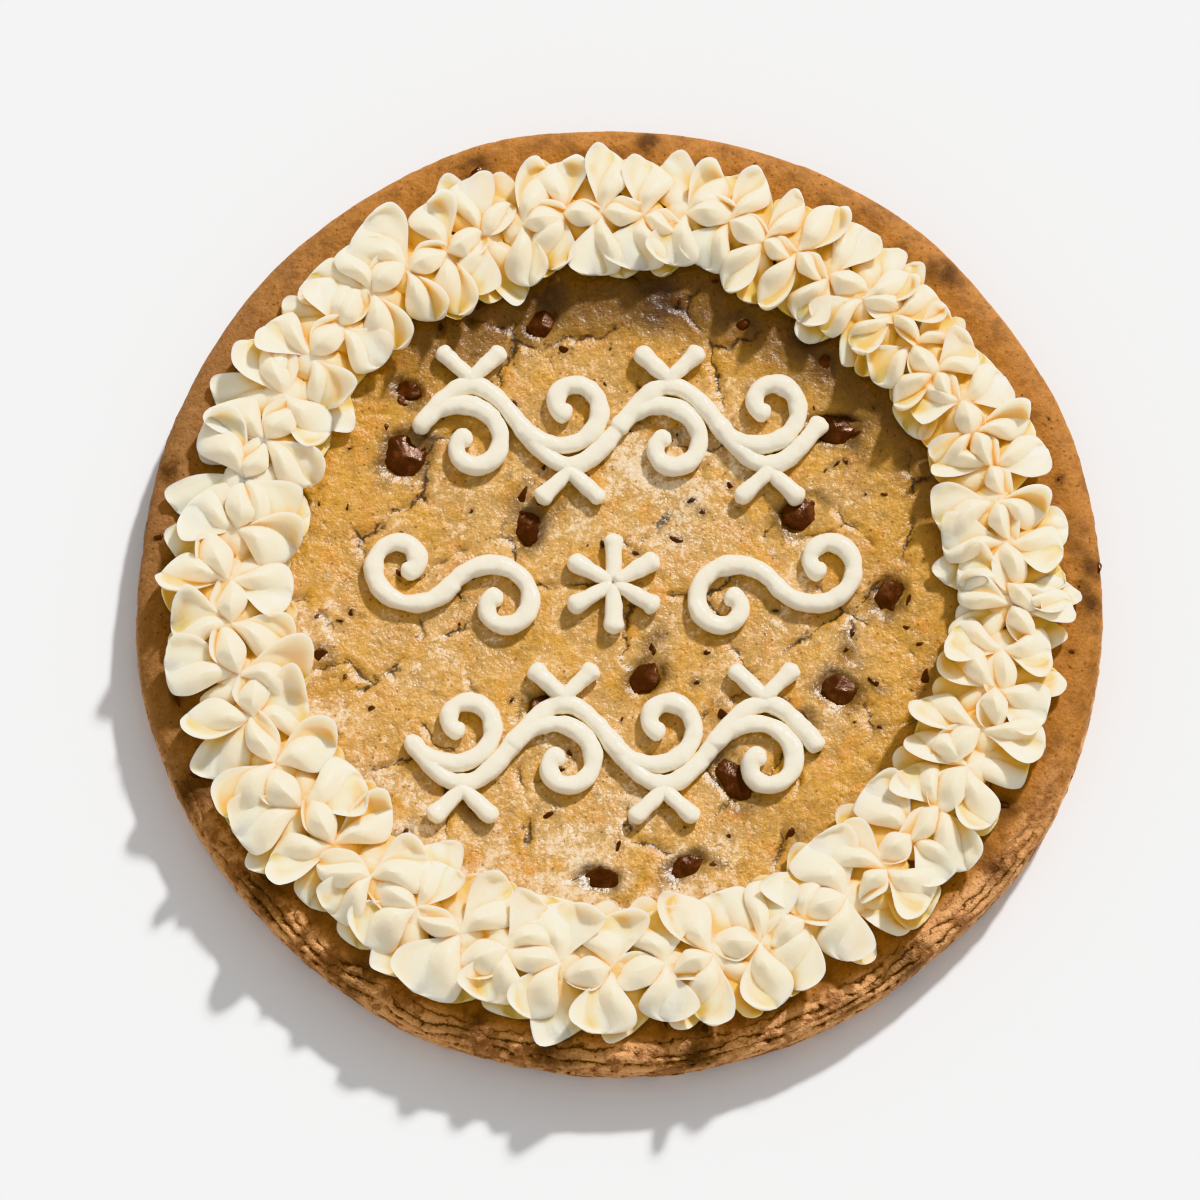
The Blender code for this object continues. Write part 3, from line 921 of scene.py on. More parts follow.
def dough_material():
    material, tree, shader = new_material("baked_dough")
    place = tree.nodes.new("ShaderNodeTexCoord").outputs["Object"]
    rim = stored(tree, "rim")
    side = stored(tree, "side")
    patch = stored(tree, "patch")
    smear = stored(tree, "smear")
    grain = grain_at(tree, place, 1.0 * MM)
    streaks = noise(tree, stored_place(tree, "streak_place"), 2.8 * MM, 3.0, 0.62)
    edge = times(tree, minus(tree, streaks, 0.5), 0.35)
    top = minus(tree, 1.0, rim)
    blotch = plus(tree, stored(tree, "blotch"), edge)
    tone = mix(tree, step(tree, blotch, 0.40, 0.58), OLIVE, TAN)
    smeared = plus(tree, smear, edge)
    tone = layered(tree, tone, (
        (step(tree, plus(tree, patch, edge), 0.50, 0.66), 1.0, ORANGE),
        (step(tree, smeared, 0.60, 0.72), 0.7, GREY),
        # Painted shadow of the ring on the dough just inside it.
        (stored(tree, "under"), 0.75, RING_SHADOW_BROWN),
    ))
    brown = mix(tree, step(tree, patch, 0.34, 0.56), RIM_DARK, RIM_BROWN)
    # The rim is darker towards the left.
    brown = layered(tree, brown, ((stored(tree, "bake"), 0.8, RIM_LEFT_TONE),))
    banded = calc(tree, "MULTIPLY_ADD", edge, 1.5, plus(tree, blotch, patch))
    banded = mix(tree, step(tree, banded, 0.82, 1.08), LIFTED_SIDE_DARK, LIFTED_SIDE_BROWN)
    # Painted light: the shaded front of the side takes the lighter side colours.
    brown = mix(tree, stored(tree, "pale"), brown, banded)
    tone = mix(tree, rim, tone, brown)
    glaze = times(tree, stored(tree, "shine"), step(tree, stored(tree, "broken"), 0.34, 0.56))
    glaze = times(tree, glaze, top)
    least = step(tree, glaze, 0.0, 0.9, 0.60, 0.38)
    most = plus(tree, least, 0.20)
    glint = calc(tree, "MULTIPLY_ADD", minus(tree, grain, 0.5), 0.22, streaks)
    painted_glints = times(tree, step(tree, glint, least, most), step(tree, glaze, 0.02, 0.4))
    pits = times(tree, cell_spots(tree, place, 2.4 * MM, 0.08, 0.24), step(tree, patch, 0.42, 0.56))
    tone = layered(tree, tone, (
        # Painted sheen in the shiny patches, partly the skin's paler tone, then painted glints over the
        # real gloss.
        (glaze, 0.85, PEACH_AND_SHEEN),
        (painted_glints, 0.55, PAINTED_GLINT),
        # Chocolate stains, with a few smudges by the ring that are partly painted shade.
        (times(tree, stored(tree, "stain"), step(tree, smeared, 0.34, 0.56)), 0.8, STAIN_AND_SHADE_BROWN),
        (step(tree, stored(tree, "smudge"), 0.64, 0.74), 0.5, STAIN_AND_SHADE_BROWN),
        (cell_spots(tree, place, 4.2 * MM, 0.07, 0.15), 0.6, SPECK_RED),
        (pits, 0.6, CRACK_BROWN),
    ))
    fine = calc(tree, "MULTIPLY_ADD", grain, 0.26, 0.60)
    tone = shaded(tree, tone, calc(tree, "MULTIPLY_ADD", streaks, 0.52, fine))
    jagged = put(tree, "ShaderNodeCombineXYZ", {0: edge, 1: times(tree, edge, -0.7)}).outputs[0]
    jagged = stretched(tree, jagged, (CRACK_RAG, CRACK_RAG, 0.0))
    jagged = vector_calc(tree, "ADD", stored_place(tree, "crack_place"), jagged)
    crack_width = step(tree, patch, 0.35, 0.62, 0.25 * MM, 1.4 * MM)
    cracks = cell_edges(tree, jagged, CRACK_CELL, crack_width)
    cracks = times(tree, cracks, stored(tree, "crack_zone"))
    cracks = times(tree, cracks, step(tree, rim, 0.2, 1.0, 1.0, 0.1))
    ragged = calc(tree, "MULTIPLY_ADD", edge, LAYER_RAG, stored(tree, "past"))
    layer_width = step(tree, patch, 0.36, 0.60, 0.15 * MM, 1.0 * MM)
    gaps = layer_lines(tree, stored_place(tree, "layer_place"), ragged, layer_width)[0]
    parted = times(tree, gaps, step(tree, patch, 0.34, 0.48, 0.15, 0.95))
    layers = times(tree, parted, side)
    lines = calc(tree, "MAXIMUM", cracks, layers)
    tone = mix(tree, times(tree, lines, 0.9), tone, CRACK_BROWN)
    dull = mix_value(tree, rim, step(tree, glaze, 0.0, 0.5, 0.33, 0.25), 0.62)
    relief = times(tree, streaks, STREAK_DEPTH)
    crumb = mix_value(tree, side, GRAIN_DEPTH, CRUMB_DEPTH)
    connect(tree, shader, {
        "Base Color": tone,
        "Roughness": calc(tree, "MULTIPLY_ADD", grain, 0.1, dull),
        "Specular IOR Level": mix_value(tree, rim, step(tree, glaze, 0.0, 0.5, 0.62, 1.0), 0.2),
        "Height": calc(tree, "MULTIPLY_ADD", grain, crumb, relief),
    })
    return material


dough = dough_material()
piece("cookie_skin", dough_mesh, dough, ("cookie",))
print("dough material with", len(dough.node_tree.nodes), "nodes")

# %% [markdown]
# The border is a ring of piped flowers. A star tip squeezed out and jerked from side to
# side leaves, for each flower, a folded petal to the outside, one to the inside, a lower
# sheet under each and a bud that leans along the ring. The places repeat the solid's own
# random draws in the same order, so every flower stands where its solid flower stands.

# %% Places of the flowers
RING_RADIUS = 122.5 * MM
RING_HEIGHT = 12.5 * MM
FLOWER_SPACING = 14.3 * MM
SPACING_SWING = 2.2 * MM
SIZE_SWING = 0.055
CLOSEST_AT = radians(45.0)
RADIUS_SPREAD = 0.8 * MM
BORDER_SEED = 5


def flower_table():
    rng = np.random.default_rng(BORDER_SEED)
    angles = [0.0]
    while True:
        spacing = FLOWER_SPACING - SPACING_SWING * cos(angles[-1] - CLOSEST_AT)
        following = angles[-1] + spacing * rng.uniform(0.9, 1.1) / RING_RADIUS
        if following > tau - 0.5 * FLOWER_SPACING / RING_RADIUS:
            break
        angles.append(following)
    flowers = []
    for angle in angles:
        flowers.append({
            "angle": angle,
            "radius": RING_RADIUS + rng.normal(0.0, 1.0) * RADIUS_SPREAD,
            "size": 1.0 - SIZE_SWING * cos(angle - CLOSEST_AT),
            "height": rng.uniform(0.90, 1.06),
            "turns": rng.normal(0.0, 1.0, 4),
            "scales": rng.uniform(0.9, 1.08, 4),
        })
    return flowers


flowers = flower_table()
print(len(flowers), "flowers")

# %% [markdown]
# A piped petal has two parts. Its body is a soft ridge that starts as a narrow root in the
# middle of the flower and thins out on its way to the edge. Beside it the cream spreads
# into a fan that curls up to a thin, slightly frilled edge, and a crease runs between the
# two. So each row of points across the petal is a ridge for the body, then a hollow
# stretch for the fan, then the underside. Its end is sheared, because the tip turns away.

# %% One petal
ALONG = 22
BODY_POINTS = 9
FAN_POINTS = 6


def petal_width(part, root, belly, roundness, flare):
    """Share of the full width: a narrow root, a wide belly and a rounded end."""
    rise = root + (1.0 - root) * sin(0.5 * pi * min(part / belly, 1.0)) ** flare
    if part > belly:
        rest = (part - belly) / (1.0 - belly)
        rise *= max(1.0 - rest ** roundness, 0.0) ** 0.5
    return max(rise, 0.05)


def petal_row(form, part, phases):
    """Points of the upper side and of the underside across the petal, in mm."""
    share = petal_width(part, form["root"], form["belly"], form["roundness"], form["flare"])
    ease = min(1.0, share / 0.55)
    width = form["width"] * share
    begin = form["opening"]
    opened = max(part - begin, 0.0) / (1.0 - begin)
    crease = 0.94 - (0.94 - form["crease"]) * opened ** 0.8
    left = -0.5 * width
    spine = form["root_height"] + (form["end_height"] - form["root_height"]) * part ** 1.3
    spine += form["arch"] * sin(pi * part)
    swell = form["body"] * (0.45 + 0.55 * sin(pi * min(1.25 * part, 1.0))) * ease
    swell *= 1.0 - form["fade"] * opened ** 2
    half = 0.5 * crease * width
    bend = form["bend"] * sin(0.8 * pi * part)
    reach = form["length"] * part
    tilt = form["lean"] * (part - 0.3)
    slant = form["slant"] * part ** 2.5
    upper = []
    for angle in np.linspace(-0.5 * pi, 0.5 * pi, BODY_POINTS):
        y = left + half * (1.0 + sin(angle))
        z = spine + swell * (1.0 - abs(sin(angle)) ** form["ridge"]) + tilt * y / form["width"]
        upper.append((reach + slant * y, bend + y, z))
    crease_y = left + 2.0 * half
    for step_out in np.linspace(0.0, 1.0, FAN_POINTS + 1)[1:]:
        y = crease_y + (0.5 * width - crease_y) * step_out
        z = spine + form["fan"] * ease * opened * step_out ** 0.6 + tilt * y / form["width"]
        z += 0.35 * opened * sin(0.9 * y + phases[1]) + form["cup"] * ease * opened * step_out ** 3
        frill = 0.45 * sin(2.1 * step_out + phases[2]) + 0.30 * sin(6.0 * step_out + phases[3])
        upper.append((reach + slant * y + part * ease * frill, bend + y, z))
    thick = form["thick"] * (1.0 - part) ** 1.2
    lower = []
    for x, y, z in upper[-2:0:-1]:
        low = min(z - form["edge"], spine - form["edge"] + tilt * (y - bend) / form["width"])
        lower.append((x, y, low - thick * (1.0 - (2.0 * (y - bend) / width) ** 4)))
    return upper + lower


def closed_rows(name, rows):
    """A closed mesh through rows of points, each row a ring, with a cap at both ends."""
    count = len(rows[0])
    faces = []
    rings = [range(row * count, (row + 1) * count) for row in range(len(rows))]
    for upper, lower in zip(rings, rings[1:]):
        faces += ring_faces(upper, lower)
    faces += [tuple(reversed(rings[0])), tuple(rings[-1])]
    points = [(x * MM, y * MM, z * MM) for row in rows for x, y, z in row]
    mesh = mesh_of(name, points, faces)
    turned_out(mesh)
    return mesh


def petal_mesh(name, form, rng):
    """One petal in mm along +X from its root, closed all round."""
    phases = rng.uniform(0.0, tau, 4)
    rows = []
    for row in range(ALONG):
        part = 1.0 - (1.0 - row / (ALONG - 1)) ** 1.35
        rows.append(petal_row(form, part, phases))
    if rng.uniform() < form["mirrored"]:
        rows = [[(x, -y, z) for x, y, z in row] for row in rows]
    return closed_rows(name, rows)


# %% [markdown]
# Five petals make a flower, and each kind comes in several makes that differ in length,
# crease, bend and edge, because no two squeezes are alike. Each size below has one value
# for each kind, in mm or as a share. The heights are for a flower of the ring's full
# height. A plain mound under each flower closes its middle.

# %% Kinds of petal
MAKES = 9
MAKE_SEED = 31
FULL = RING_HEIGHT / MM
MOUND_LENGTH = 7.5
MOUND_WIDTH = 8.0
MOUND_MIDDLE = 0.30 * FULL
MOUND_RISE = 0.32 * FULL
KIND_NAMES = ("low", "high", "fan", "bud")
KIND_SIZES = {
    "length": (19.5, 19.6, 19.2, 15.5),
    "width": (16.5, 15.0, 18.5, 10.5),
    "root_height": (0.42 * FULL, 0.60 * FULL, 0.56 * FULL, 0.62 * FULL),
    "end_height": (0.10 * FULL, 0.38 * FULL, 0.42 * FULL, 0.50 * FULL),
    "body": (2.4, 4.6, 3.8, 4.4),
    "crease": (0.45, 0.40, 0.26, 0.62),
    "opening": (0.10, 0.12, 0.08, 0.25),
    "fade": (0.4, 0.75, 0.7, 0.35),
    "fan": (0.9, 0.9, 0.5, 1.2),
    "cup": (1.2, 3.6, 4.8, 1.8),
    "lean": (-3.0, 3.5, 3.0, -2.5),
    "bend": (0.8, 2.2, 1.2, 1.2),
    "thick": (2.4, 2.2, 2.0, 3.0),
    "edge": (0.5, 0.4, 0.4, 0.6),
    "root": (0.24, 0.10, 0.12, 0.06),
    "belly": (0.74, 0.72, 0.72, 0.50),
    "roundness": (2.4, 2.2, 2.0, 1.35),
    "arch": (0.6, 1.2, 1.6, 1.4),
    "mirrored": (0.4, 0.25, 0.4, 0.5),
    "ridge": (2.0, 1.8, 1.6, 1.5),
    "slant": (0.22, 0.30, 0.08, 0.12),
    "flare": (1.3, 1.5, 1.9, 1.0),
}
KINDS = {
    kind: {size: values[column] for size, values in KIND_SIZES.items()}
    for column, kind in enumerate(KIND_NAMES)
}


def varied(form, rng):
    """A form with small changes in every size."""
    changed = dict(form)
    for key in ("length", "width", "belly", "body", "thick"):
        changed[key] = form[key] * rng.uniform(0.90, 1.10)
    changed["crease"] = form["crease"] * rng.uniform(0.6, 1.45)
    changed["opening"] = form["opening"] * rng.uniform(0.5, 1.6)
    changed["bend"] = form["bend"] * rng.uniform(-0.6, 1.8)
    changed["lean"] = form["lean"] + 2.0 * rng.normal()
    changed["cup"] = form["cup"] * rng.uniform(0.3, 2.0)
    changed["fan"] = form["fan"] * rng.uniform(0.2, 1.8)
    changed["slant"] = form["slant"] * rng.uniform(-0.3, 2.0)
    changed["roundness"] = form["roundness"] * rng.choice((0.65, 1.0, 1.2, 2.0))
    return changed


def mound_mesh(name):
    """A low round mound of cream that closes the middle of a flower."""
    shape = bmesh.new()
    bmesh.ops.create_uvsphere(shape, u_segments=14, v_segments=8, radius=1.0)
    for corner in shape.verts:
        corner.co.x *= MOUND_LENGTH * MM
        corner.co.y *= MOUND_WIDTH * MM
        corner.co.z = (MOUND_MIDDLE + MOUND_RISE * corner.co.z) * MM
    return mesh_from(name, shape)


def petal_makes():
    rng = np.random.default_rng(MAKE_SEED)
    collection = bpy.data.collections.new("petals")
    for kind, form in KINDS.items():
        for make in range(MAKES):
            name = f"petal_{kind}_{make}"
            mesh = petal_mesh(name, varied(form, rng), rng)
            collection.objects.link(bpy.data.objects.new(name, mesh))
    collection.objects.link(bpy.data.objects.new("petal_mound", mound_mesh("petal_mound")))
    return collection


petals = petal_makes()

# %% [markdown]
# Geometry Nodes set the petals round the ring. A cloud of points carries, for each petal,
# the number of its make, its turn and its size, and the tree puts the chosen petal on
# each point. Instances keep this quick, and realizing them at the end gives one mesh.

# %% Petals round the ring
FAN_SHARE = 0.55
PETAL_SEED = 52
# Kind, direction from the outward line in degrees and its spread
FLOWER_PLAN = (
    ("low", 30.0, 10.0),
    ("low", 210.0, 10.0),
    ("high", -12.0, 12.0),
    ("high", 170.0, 12.0),
    ("bud", -92.0, 15.0),
)


def petal_points():
    """One row for each petal: place, make, turn and size."""
    rng = np.random.default_rng(PETAL_SEED)
    order = sorted(shape.name for shape in petals.objects)
    mound = order.index("petal_mound")
    rows = []
    for before, flower, after in zip(flowers[-1:] + flowers[:-1], flowers, flowers[1:] + flowers[:1]):
        room = 0.5 * ((after["angle"] - before["angle"]) % tau) * RING_RADIUS / FLOWER_SPACING
        cx = flower["radius"] * cos(flower["angle"])
        cy = flower["radius"] * sin(flower["angle"])
        base = float(top_height(cx, cy)) + REST_GAP
        rows.append((cx, cy, base, mound, flower["angle"], 1.0, room, flower["height"]))
        for kind, direction, spread in FLOWER_PLAN:
            if kind == "high" and rng.uniform() < FAN_SHARE:
                kind = "fan"
            turn = flower["angle"] + radians(direction + spread * rng.normal())
            size = flower["size"] * rng.uniform(0.88, 1.10)
            wide = room * rng.uniform(0.88, 1.14)
            lift = flower["height"] * rng.uniform(0.94, 1.04)
            long = size if kind != "bud" else 0.5 * (size + wide)
            make = order.index(f"petal_{kind}_{rng.integers(MAKES)}")
            rows.append((cx, cy, base, make, turn, long, wide, lift))
    return np.array(rows)


def set_out_tree(name, collection, material, fuse=False):
    """Instance the pieces of a collection on points that carry make, turn and size."""
    tree, given = geometry_tree(name, {"Size": 1.0})
    sockets = {"Collection": collection, "Separate Children": True}
    source = put(tree, "GeometryNodeCollectionInfo", sockets)
    grown = scaled(tree, attribute(tree, "size", "FLOAT_VECTOR"), given["Size"])
    placed = put(tree, "GeometryNodeInstanceOnPoints", {
        "Points": given["Geometry"], "Instance": source.outputs[0], "Pick Instance": True,
        "Instance Index": attribute(tree, "make", "INT"),
        "Rotation": attribute(tree, "turn", "FLOAT_VECTOR"), "Scale": grown,
    })
    set_out = placed.outputs[0]
    if fuse:
        set_out = fused(tree, set_out)
    return finished(tree, made_real(tree, set_out, material))


def point_mesh(name, places, makes, turns, sizes):
    """Loose points with the numbers that the tree reads."""
    mesh = mesh_of(name, places)
    for label, kind, key, values in (
        ("make", "INT", "value", np.asarray(makes, dtype=np.int32)),
        ("turn", "FLOAT_VECTOR", "vector", turns),
        ("size", "FLOAT_VECTOR", "vector", sizes),
    ):
        mesh.attributes.new(label, kind, "POINT").data.foreach_set(key, np.ravel(values))
    return mesh


rows = petal_points()
print(len(rows), "petals to set out")

# %% [markdown]
# Buttercream is butter and sugar: light goes a little way into it, comes out warm, and
# fills its folds with yellow instead of grey. Subsurface scattering does part of this.
# The rest is painted light: a number stored on the mesh is high in creases and low on
# edges, and the material paints a warmer yellow where it is high, as a painted glow of
# light bounced in the folds. The surface is satin, with the faintest grain from the sugar.

# %% Material of the buttercream
# Each cream's second colour is a painted glow of light bounced in its folds.
BUTTERCREAM = (0.94, 0.825, 0.645, 1.0)
BUTTERCREAM_FOLD_GLOW = (1.0, 0.60, 0.18, 1.0)
ICING = (0.86, 0.80, 0.67, 1.0)
ICING_FOLD_GLOW = (0.95, 0.77, 0.48, 1.0)
LOOKS_ROUND = 12
LOOK_GRID = 0.8 * MM
LOOK_REACHES = (1.6 * MM, 3.2 * MM, 5.0 * MM)


def cream_material(name, pale, fold_glow, depth, rough, wave):
    material, tree, shader = new_material(name)
    place = tree.nodes.new("ShaderNodeTexCoord").outputs["Object"]
    # Painted light: the fold number tints creases with the warm glow of bounced light.
    fold = step(tree, stored(tree, "fold"), 0.16, 0.95, 0.0, 1.0)
    grain = grain_at(tree, place, 0.7 * MM)
    relief = times(tree, noise(tree, place, wave, 1.0, 0.5), 0.05 * wave)
    connect(tree, shader, {
        "Base Color": mix(tree, fold, pale, fold_glow),
        "Roughness": calc(tree, "MULTIPLY_ADD", grain, 0.12, rough - 0.06),
        "Height": calc(tree, "MULTIPLY_ADD", grain, 0.02 * MM, relief),
    })
    shader.inputs["Subsurface Weight"].default_value = 1.0
    shader.inputs["Subsurface Radius"].default_value = (1.0, 0.94, 0.84)
    shader.inputs["Subsurface Scale"].default_value = depth
    shader.inputs["Specular IOR Level"].default_value = 0.36
    return material


def walled_in(points, spacing, reaches):
    """How much higher cream round each point hides the sky: 0 in the open, 1 in a pit."""
    low = points[:, :2].min(axis=0) - 2.0 * max(reaches)
    size = np.ceil((points[:, :2].max(axis=0) + 2.0 * max(reaches) - low) / spacing).astype(int) + 1
    heights = np.full(size, points[:, 2].min())
    spots = ((points[:, :2] - low) / spacing).astype(int)
    np.maximum.at(heights, (spots[:, 0], spots[:, 1]), points[:, 2])
    hidden = np.zeros(len(points))
    for angle in np.linspace(0.0, tau, LOOKS_ROUND, endpoint=False):
        way = np.array((cos(angle), sin(angle)))
        steepest = np.zeros(len(points))
        for reach in reaches:
            ahead = ((points[:, :2] + reach * way - low) / spacing).astype(int)
            rise = heights[ahead[:, 0], ahead[:, 1]] - points[:, 2]
            steepest = np.maximum(steepest, np.arctan2(rise, reach))
        hidden += steepest / (0.5 * pi) / LOOKS_ROUND
    return hidden


def fold_numbers(mesh, reach, rounds):
    """Store how deep each point lies in a fold: 0 in the open, 1 in a tight crease. The creams paint
    warm bounce light by it.
    """
    points = mesh_points(mesh)
    normals = mesh_normals(mesh)
    edges = np.empty(2 * len(mesh.edges), dtype=np.int64)
    mesh.edges.foreach_get("vertices", edges)
    first, second = edges.reshape(-1, 2).T
    count = np.bincount(first, minlength=len(points)) + np.bincount(second, minlength=len(points))

    def spread(values):
        total = np.bincount(first, values[second], len(points))
        total += np.bincount(second, values[first], len(points))
        return total / np.maximum(count, 1)

    away = points.copy()
    for _ in range(rounds):
        away = np.column_stack([spread(away[:, axis]) for axis in range(3)])
    depth = np.einsum("ij,ij->i", away - points, normals)
    for _ in range(3):
        depth = 0.5 * (depth + spread(depth))
    hidden = walled_in(points, LOOK_GRID, LOOK_REACHES)
    for _ in range(5):
        hidden = 0.5 * (hidden + spread(hidden))
    folded = 0.8 * np.clip(depth / reach, 0.0, 1.0) + 2.2 * (hidden - 0.10)
    folded *= np.clip(0.9 + normals[:, 2], 0.35, 1.0)
    store(mesh, "fold", np.clip(folded, 0.0, 1.0))


buttercream = cream_material("buttercream", BUTTERCREAM, BUTTERCREAM_FOLD_GLOW, 2.4 * MM, 0.42, 3.5 * MM)
icing = cream_material("white_icing", ICING, ICING_FOLD_GLOW, 1.8 * MM, 0.22, 2.4 * MM)
print("two creams ready")

# %% [markdown]
# Petals that only pass through each other would leave faces inside the cream, and light
# scattered below the surface would catch on them. So the tree fuses the instances with
# one Boolean before they are realized. The ring is made in two halves, which keeps each
# mesh at a size that other programs can take.

# %% The border
SCRAP_POINTS = 400
SHARP_PETAL = radians(38.0)


def without_scraps(mesh, least):
    """Drop the shells of a mesh that have fewer points than least, such as sealed bubbles."""
    shape = bmesh.new()
    shape.from_mesh(mesh)
    waiting = set(shape.verts)
    dropped = []
    while waiting:
        shell = {waiting.pop()}
        edge = list(shell)
        while edge:
            for line in edge.pop().link_edges:
                for corner in line.verts:
                    if corner in waiting:
                        waiting.remove(corner)
                        shell.add(corner)
                        edge.append(corner)
        if len(shell) < least:
            dropped.extend(shell)
    bmesh.ops.delete(shape, geom=dropped, context="VERTS")
    shape.to_mesh(mesh)
    shape.free()


border_tree = set_out_tree("petals_round_the_ring", petals, buttercream, fuse=True)
half = len(rows) // 2
for number, part in enumerate((rows[:half], rows[half:])):
    turns = np.column_stack((np.zeros((len(part), 2)), part[:, 4]))
    cloud = point_mesh("petal_points", part[:, :3], part[:, 3], turns, part[:, 5:8])
    half_mesh = shaped_by(border_tree, cloud, f"border_half_{number}")
    without_scraps(half_mesh, SCRAP_POINTS)
    fold_numbers(half_mesh, reach=0.6 * MM, rounds=6)
    piece(half_mesh.name, half_mesh, buttercream, ("buttercream_border",))
    half_mesh.set_sharp_from_angle(angle=SHARP_PETAL)
    print(half_mesh.name, len(half_mesh.polygons), "faces")

# %% [markdown]
# The middle is piped with a thinner white icing, one steady line at a time. The hand
# draws waving stems, curls that wind in, short pressed drops for leaves and a daisy. The
# paths are the ones of the solids, with more points. Each line starts round and ends in a
# small blob, and its width wanders a little with the pressure of the hand.

# %% Paths of the icing
LINE_WIDTH = 7.2 * MM
PIPED_SHARE = 0.84
LINE_FLATNESS = 0.86
LINE_SINK = 0.7 * MM
STEM_RISE = 13.0 * MM
STEM_PERIOD = 63.0 * MM
CURL_DROP = 7.0 * MM
CURL_END = 3.6 * MM
CURL_TURN = 385.0
LEAF_LENGTH = 11.5 * MM
LEAF_START = 2.0 * MM
LEAF_LEAN = 46.0
LEAF_ROOT = 0.62
LAYER_LIFT = 0.30 * MM
POINT_STEP = 0.8 * MM
STEM_POINTS = 60
CURL_POINTS = 121
LEAF_POINTS = 21


def stem(x0, y0, halves, rise):
    """A waving stem that starts at a zero crossing."""
    parts = np.linspace(0.0, 0.5 * halves, halves * STEM_POINTS + 1)
    return np.column_stack((x0 + STEM_PERIOD * parts, y0 + rise * np.sin(tau * parts)))


def curl(start, centre, side):
    """A branch that leaves the stem and winds in to its end round a centre."""
    dx = start[0] - centre[0]
    dy = start[1] - centre[1]
    reach = hypot(dx, dy)
    parts = np.linspace(0.0, 1.0, CURL_POINTS)
    radius = reach * (CURL_END / reach) ** parts
    angle = atan2(dy, dx) - side * radians(CURL_TURN) * parts
    return np.column_stack((centre[0] + radius * np.cos(angle), centre[1] + radius * np.sin(angle)))


def leaf(x, y, degrees):
    """A short pressed drop."""
    turn = radians(degrees)
    parts = np.linspace(0.0, LEAF_LENGTH, LEAF_POINTS)
    return np.column_stack((x + parts * cos(turn), y + parts * sin(turn)))


def vine(x0, y0, crests, side):
    """A stem whose bays each hold a curl, with a pair of leaves on every crest."""
    paths = [(0, 1.0, stem(x0, y0, crests, side * STEM_RISE))]
    for k in range(crests):
        up = side * (1 if k % 2 == 0 else -1)
        start = (x0 + 0.5 * k * STEM_PERIOD, y0)
        middle = (start[0] + 0.25 * STEM_PERIOD, y0 - up * CURL_DROP)
        paths.append((1, 1.0, curl(start, middle, up)))
        root = y0 + up * (STEM_RISE + LEAF_START)
        for layer, lean in ((2, -LEAF_LEAN), (3, LEAF_LEAN)):
            paths.append((layer, LEAF_ROOT, leaf(middle[0], root, up * 90 - lean)))
    return paths


def scroll(x0, x1, y0, side):
    """A lying double curl: one bay with a curl at both ends, wound opposite ways."""
    middle = 0.5 * (x0 + x1)
    paths = []
    for layer, (end, up) in enumerate(((x0, side), (x1, -side))):
        centre = (0.5 * (middle + end), y0 + up * CURL_DROP)
        turning = up if end < middle else -up
        paths.append((layer, 1.0, curl((middle, y0), centre, turning)))
    return paths


def daisy(x, y, petal_count):
    """A round of pressed drops that meet in a dot."""
    paths = []
    for k in range(petal_count):
        degrees = 90 + 360 * k / petal_count
        turn = radians(degrees)
        root = (x + LEAF_START * cos(turn), y + LEAF_START * sin(turn))
        paths.append((k, LEAF_ROOT, leaf(*root, degrees)))
    return paths


MOTIFS = {
    "piped_vine_upper": vine(-63 * MM, 54 * MM, 4, 1),
    "piped_scroll_left": scroll(-84 * MM, -22 * MM, 2 * MM, 1),
    "piped_daisy": daisy(-2 * MM, 2 * MM, 6),
    "piped_scroll_right": scroll(80 * MM, 18 * MM, 2 * MM, 1),
    "piped_vine_lower": vine(-65 * MM, -50 * MM, 4, -1),
}
print("lines of icing:", sum(len(paths) for paths in MOTIFS.values()))

# %% Lines with a width at each point
LINE_SEED = 8
SLOW_WAVE = 4.1 * MM
SHORT_WAVES = (2.3 * MM, 1.3 * MM)
LONG_WAVE = 7.0 * MM
END_BLOB = 0.20
BLOB_LENGTH = 3.5 * MM


def even_points(path):
    """The same path with points at even steps, and how far along it each one lies."""
    legs = np.hypot(*np.diff(path, axis=0).T)
    along = np.concatenate(([0.0], np.cumsum(legs)))
    count = max(int(along[-1] / POINT_STEP), 8)
    even = np.linspace(0.0, along[-1], count + 1)
    return np.column_stack([np.interp(even, along, path[:, axis]) for axis in (0, 1)]), even


def line_radii(even, root, rng):
    """Half the width of a line at each point: wandering, with round ends and small blobs."""
    total = even[-1]
    radius = 0.5 * PIPED_SHARE * LINE_WIDTH * np.interp(even, (0.0, total), (max(root, 0.75), 1.0))
    waves = 0.06 * np.sin(even / SLOW_WAVE + rng.uniform(0.0, tau))
    for size in SHORT_WAVES:
        short_wave = np.sin(even / size + rng.uniform(0.0, tau))
        long_wave = np.sin(even / LONG_WAVE + rng.uniform(0.0, tau))
        waves += 0.05 * short_wave * long_wave
    waves += END_BLOB * np.exp(-((total - even) / BLOB_LENGTH) ** 2)
    radius = radius * (1.0 + waves)
    for away in (even, total - even):
        cap = 0.45 * LINE_WIDTH * (root if away is even else 1.0)
        part = np.clip(away / cap, 0.0, 1.0)
        radius = radius * np.sqrt(np.clip(1.0 - (1.0 - part) ** 2, 0.03, 1.0))
    return radius


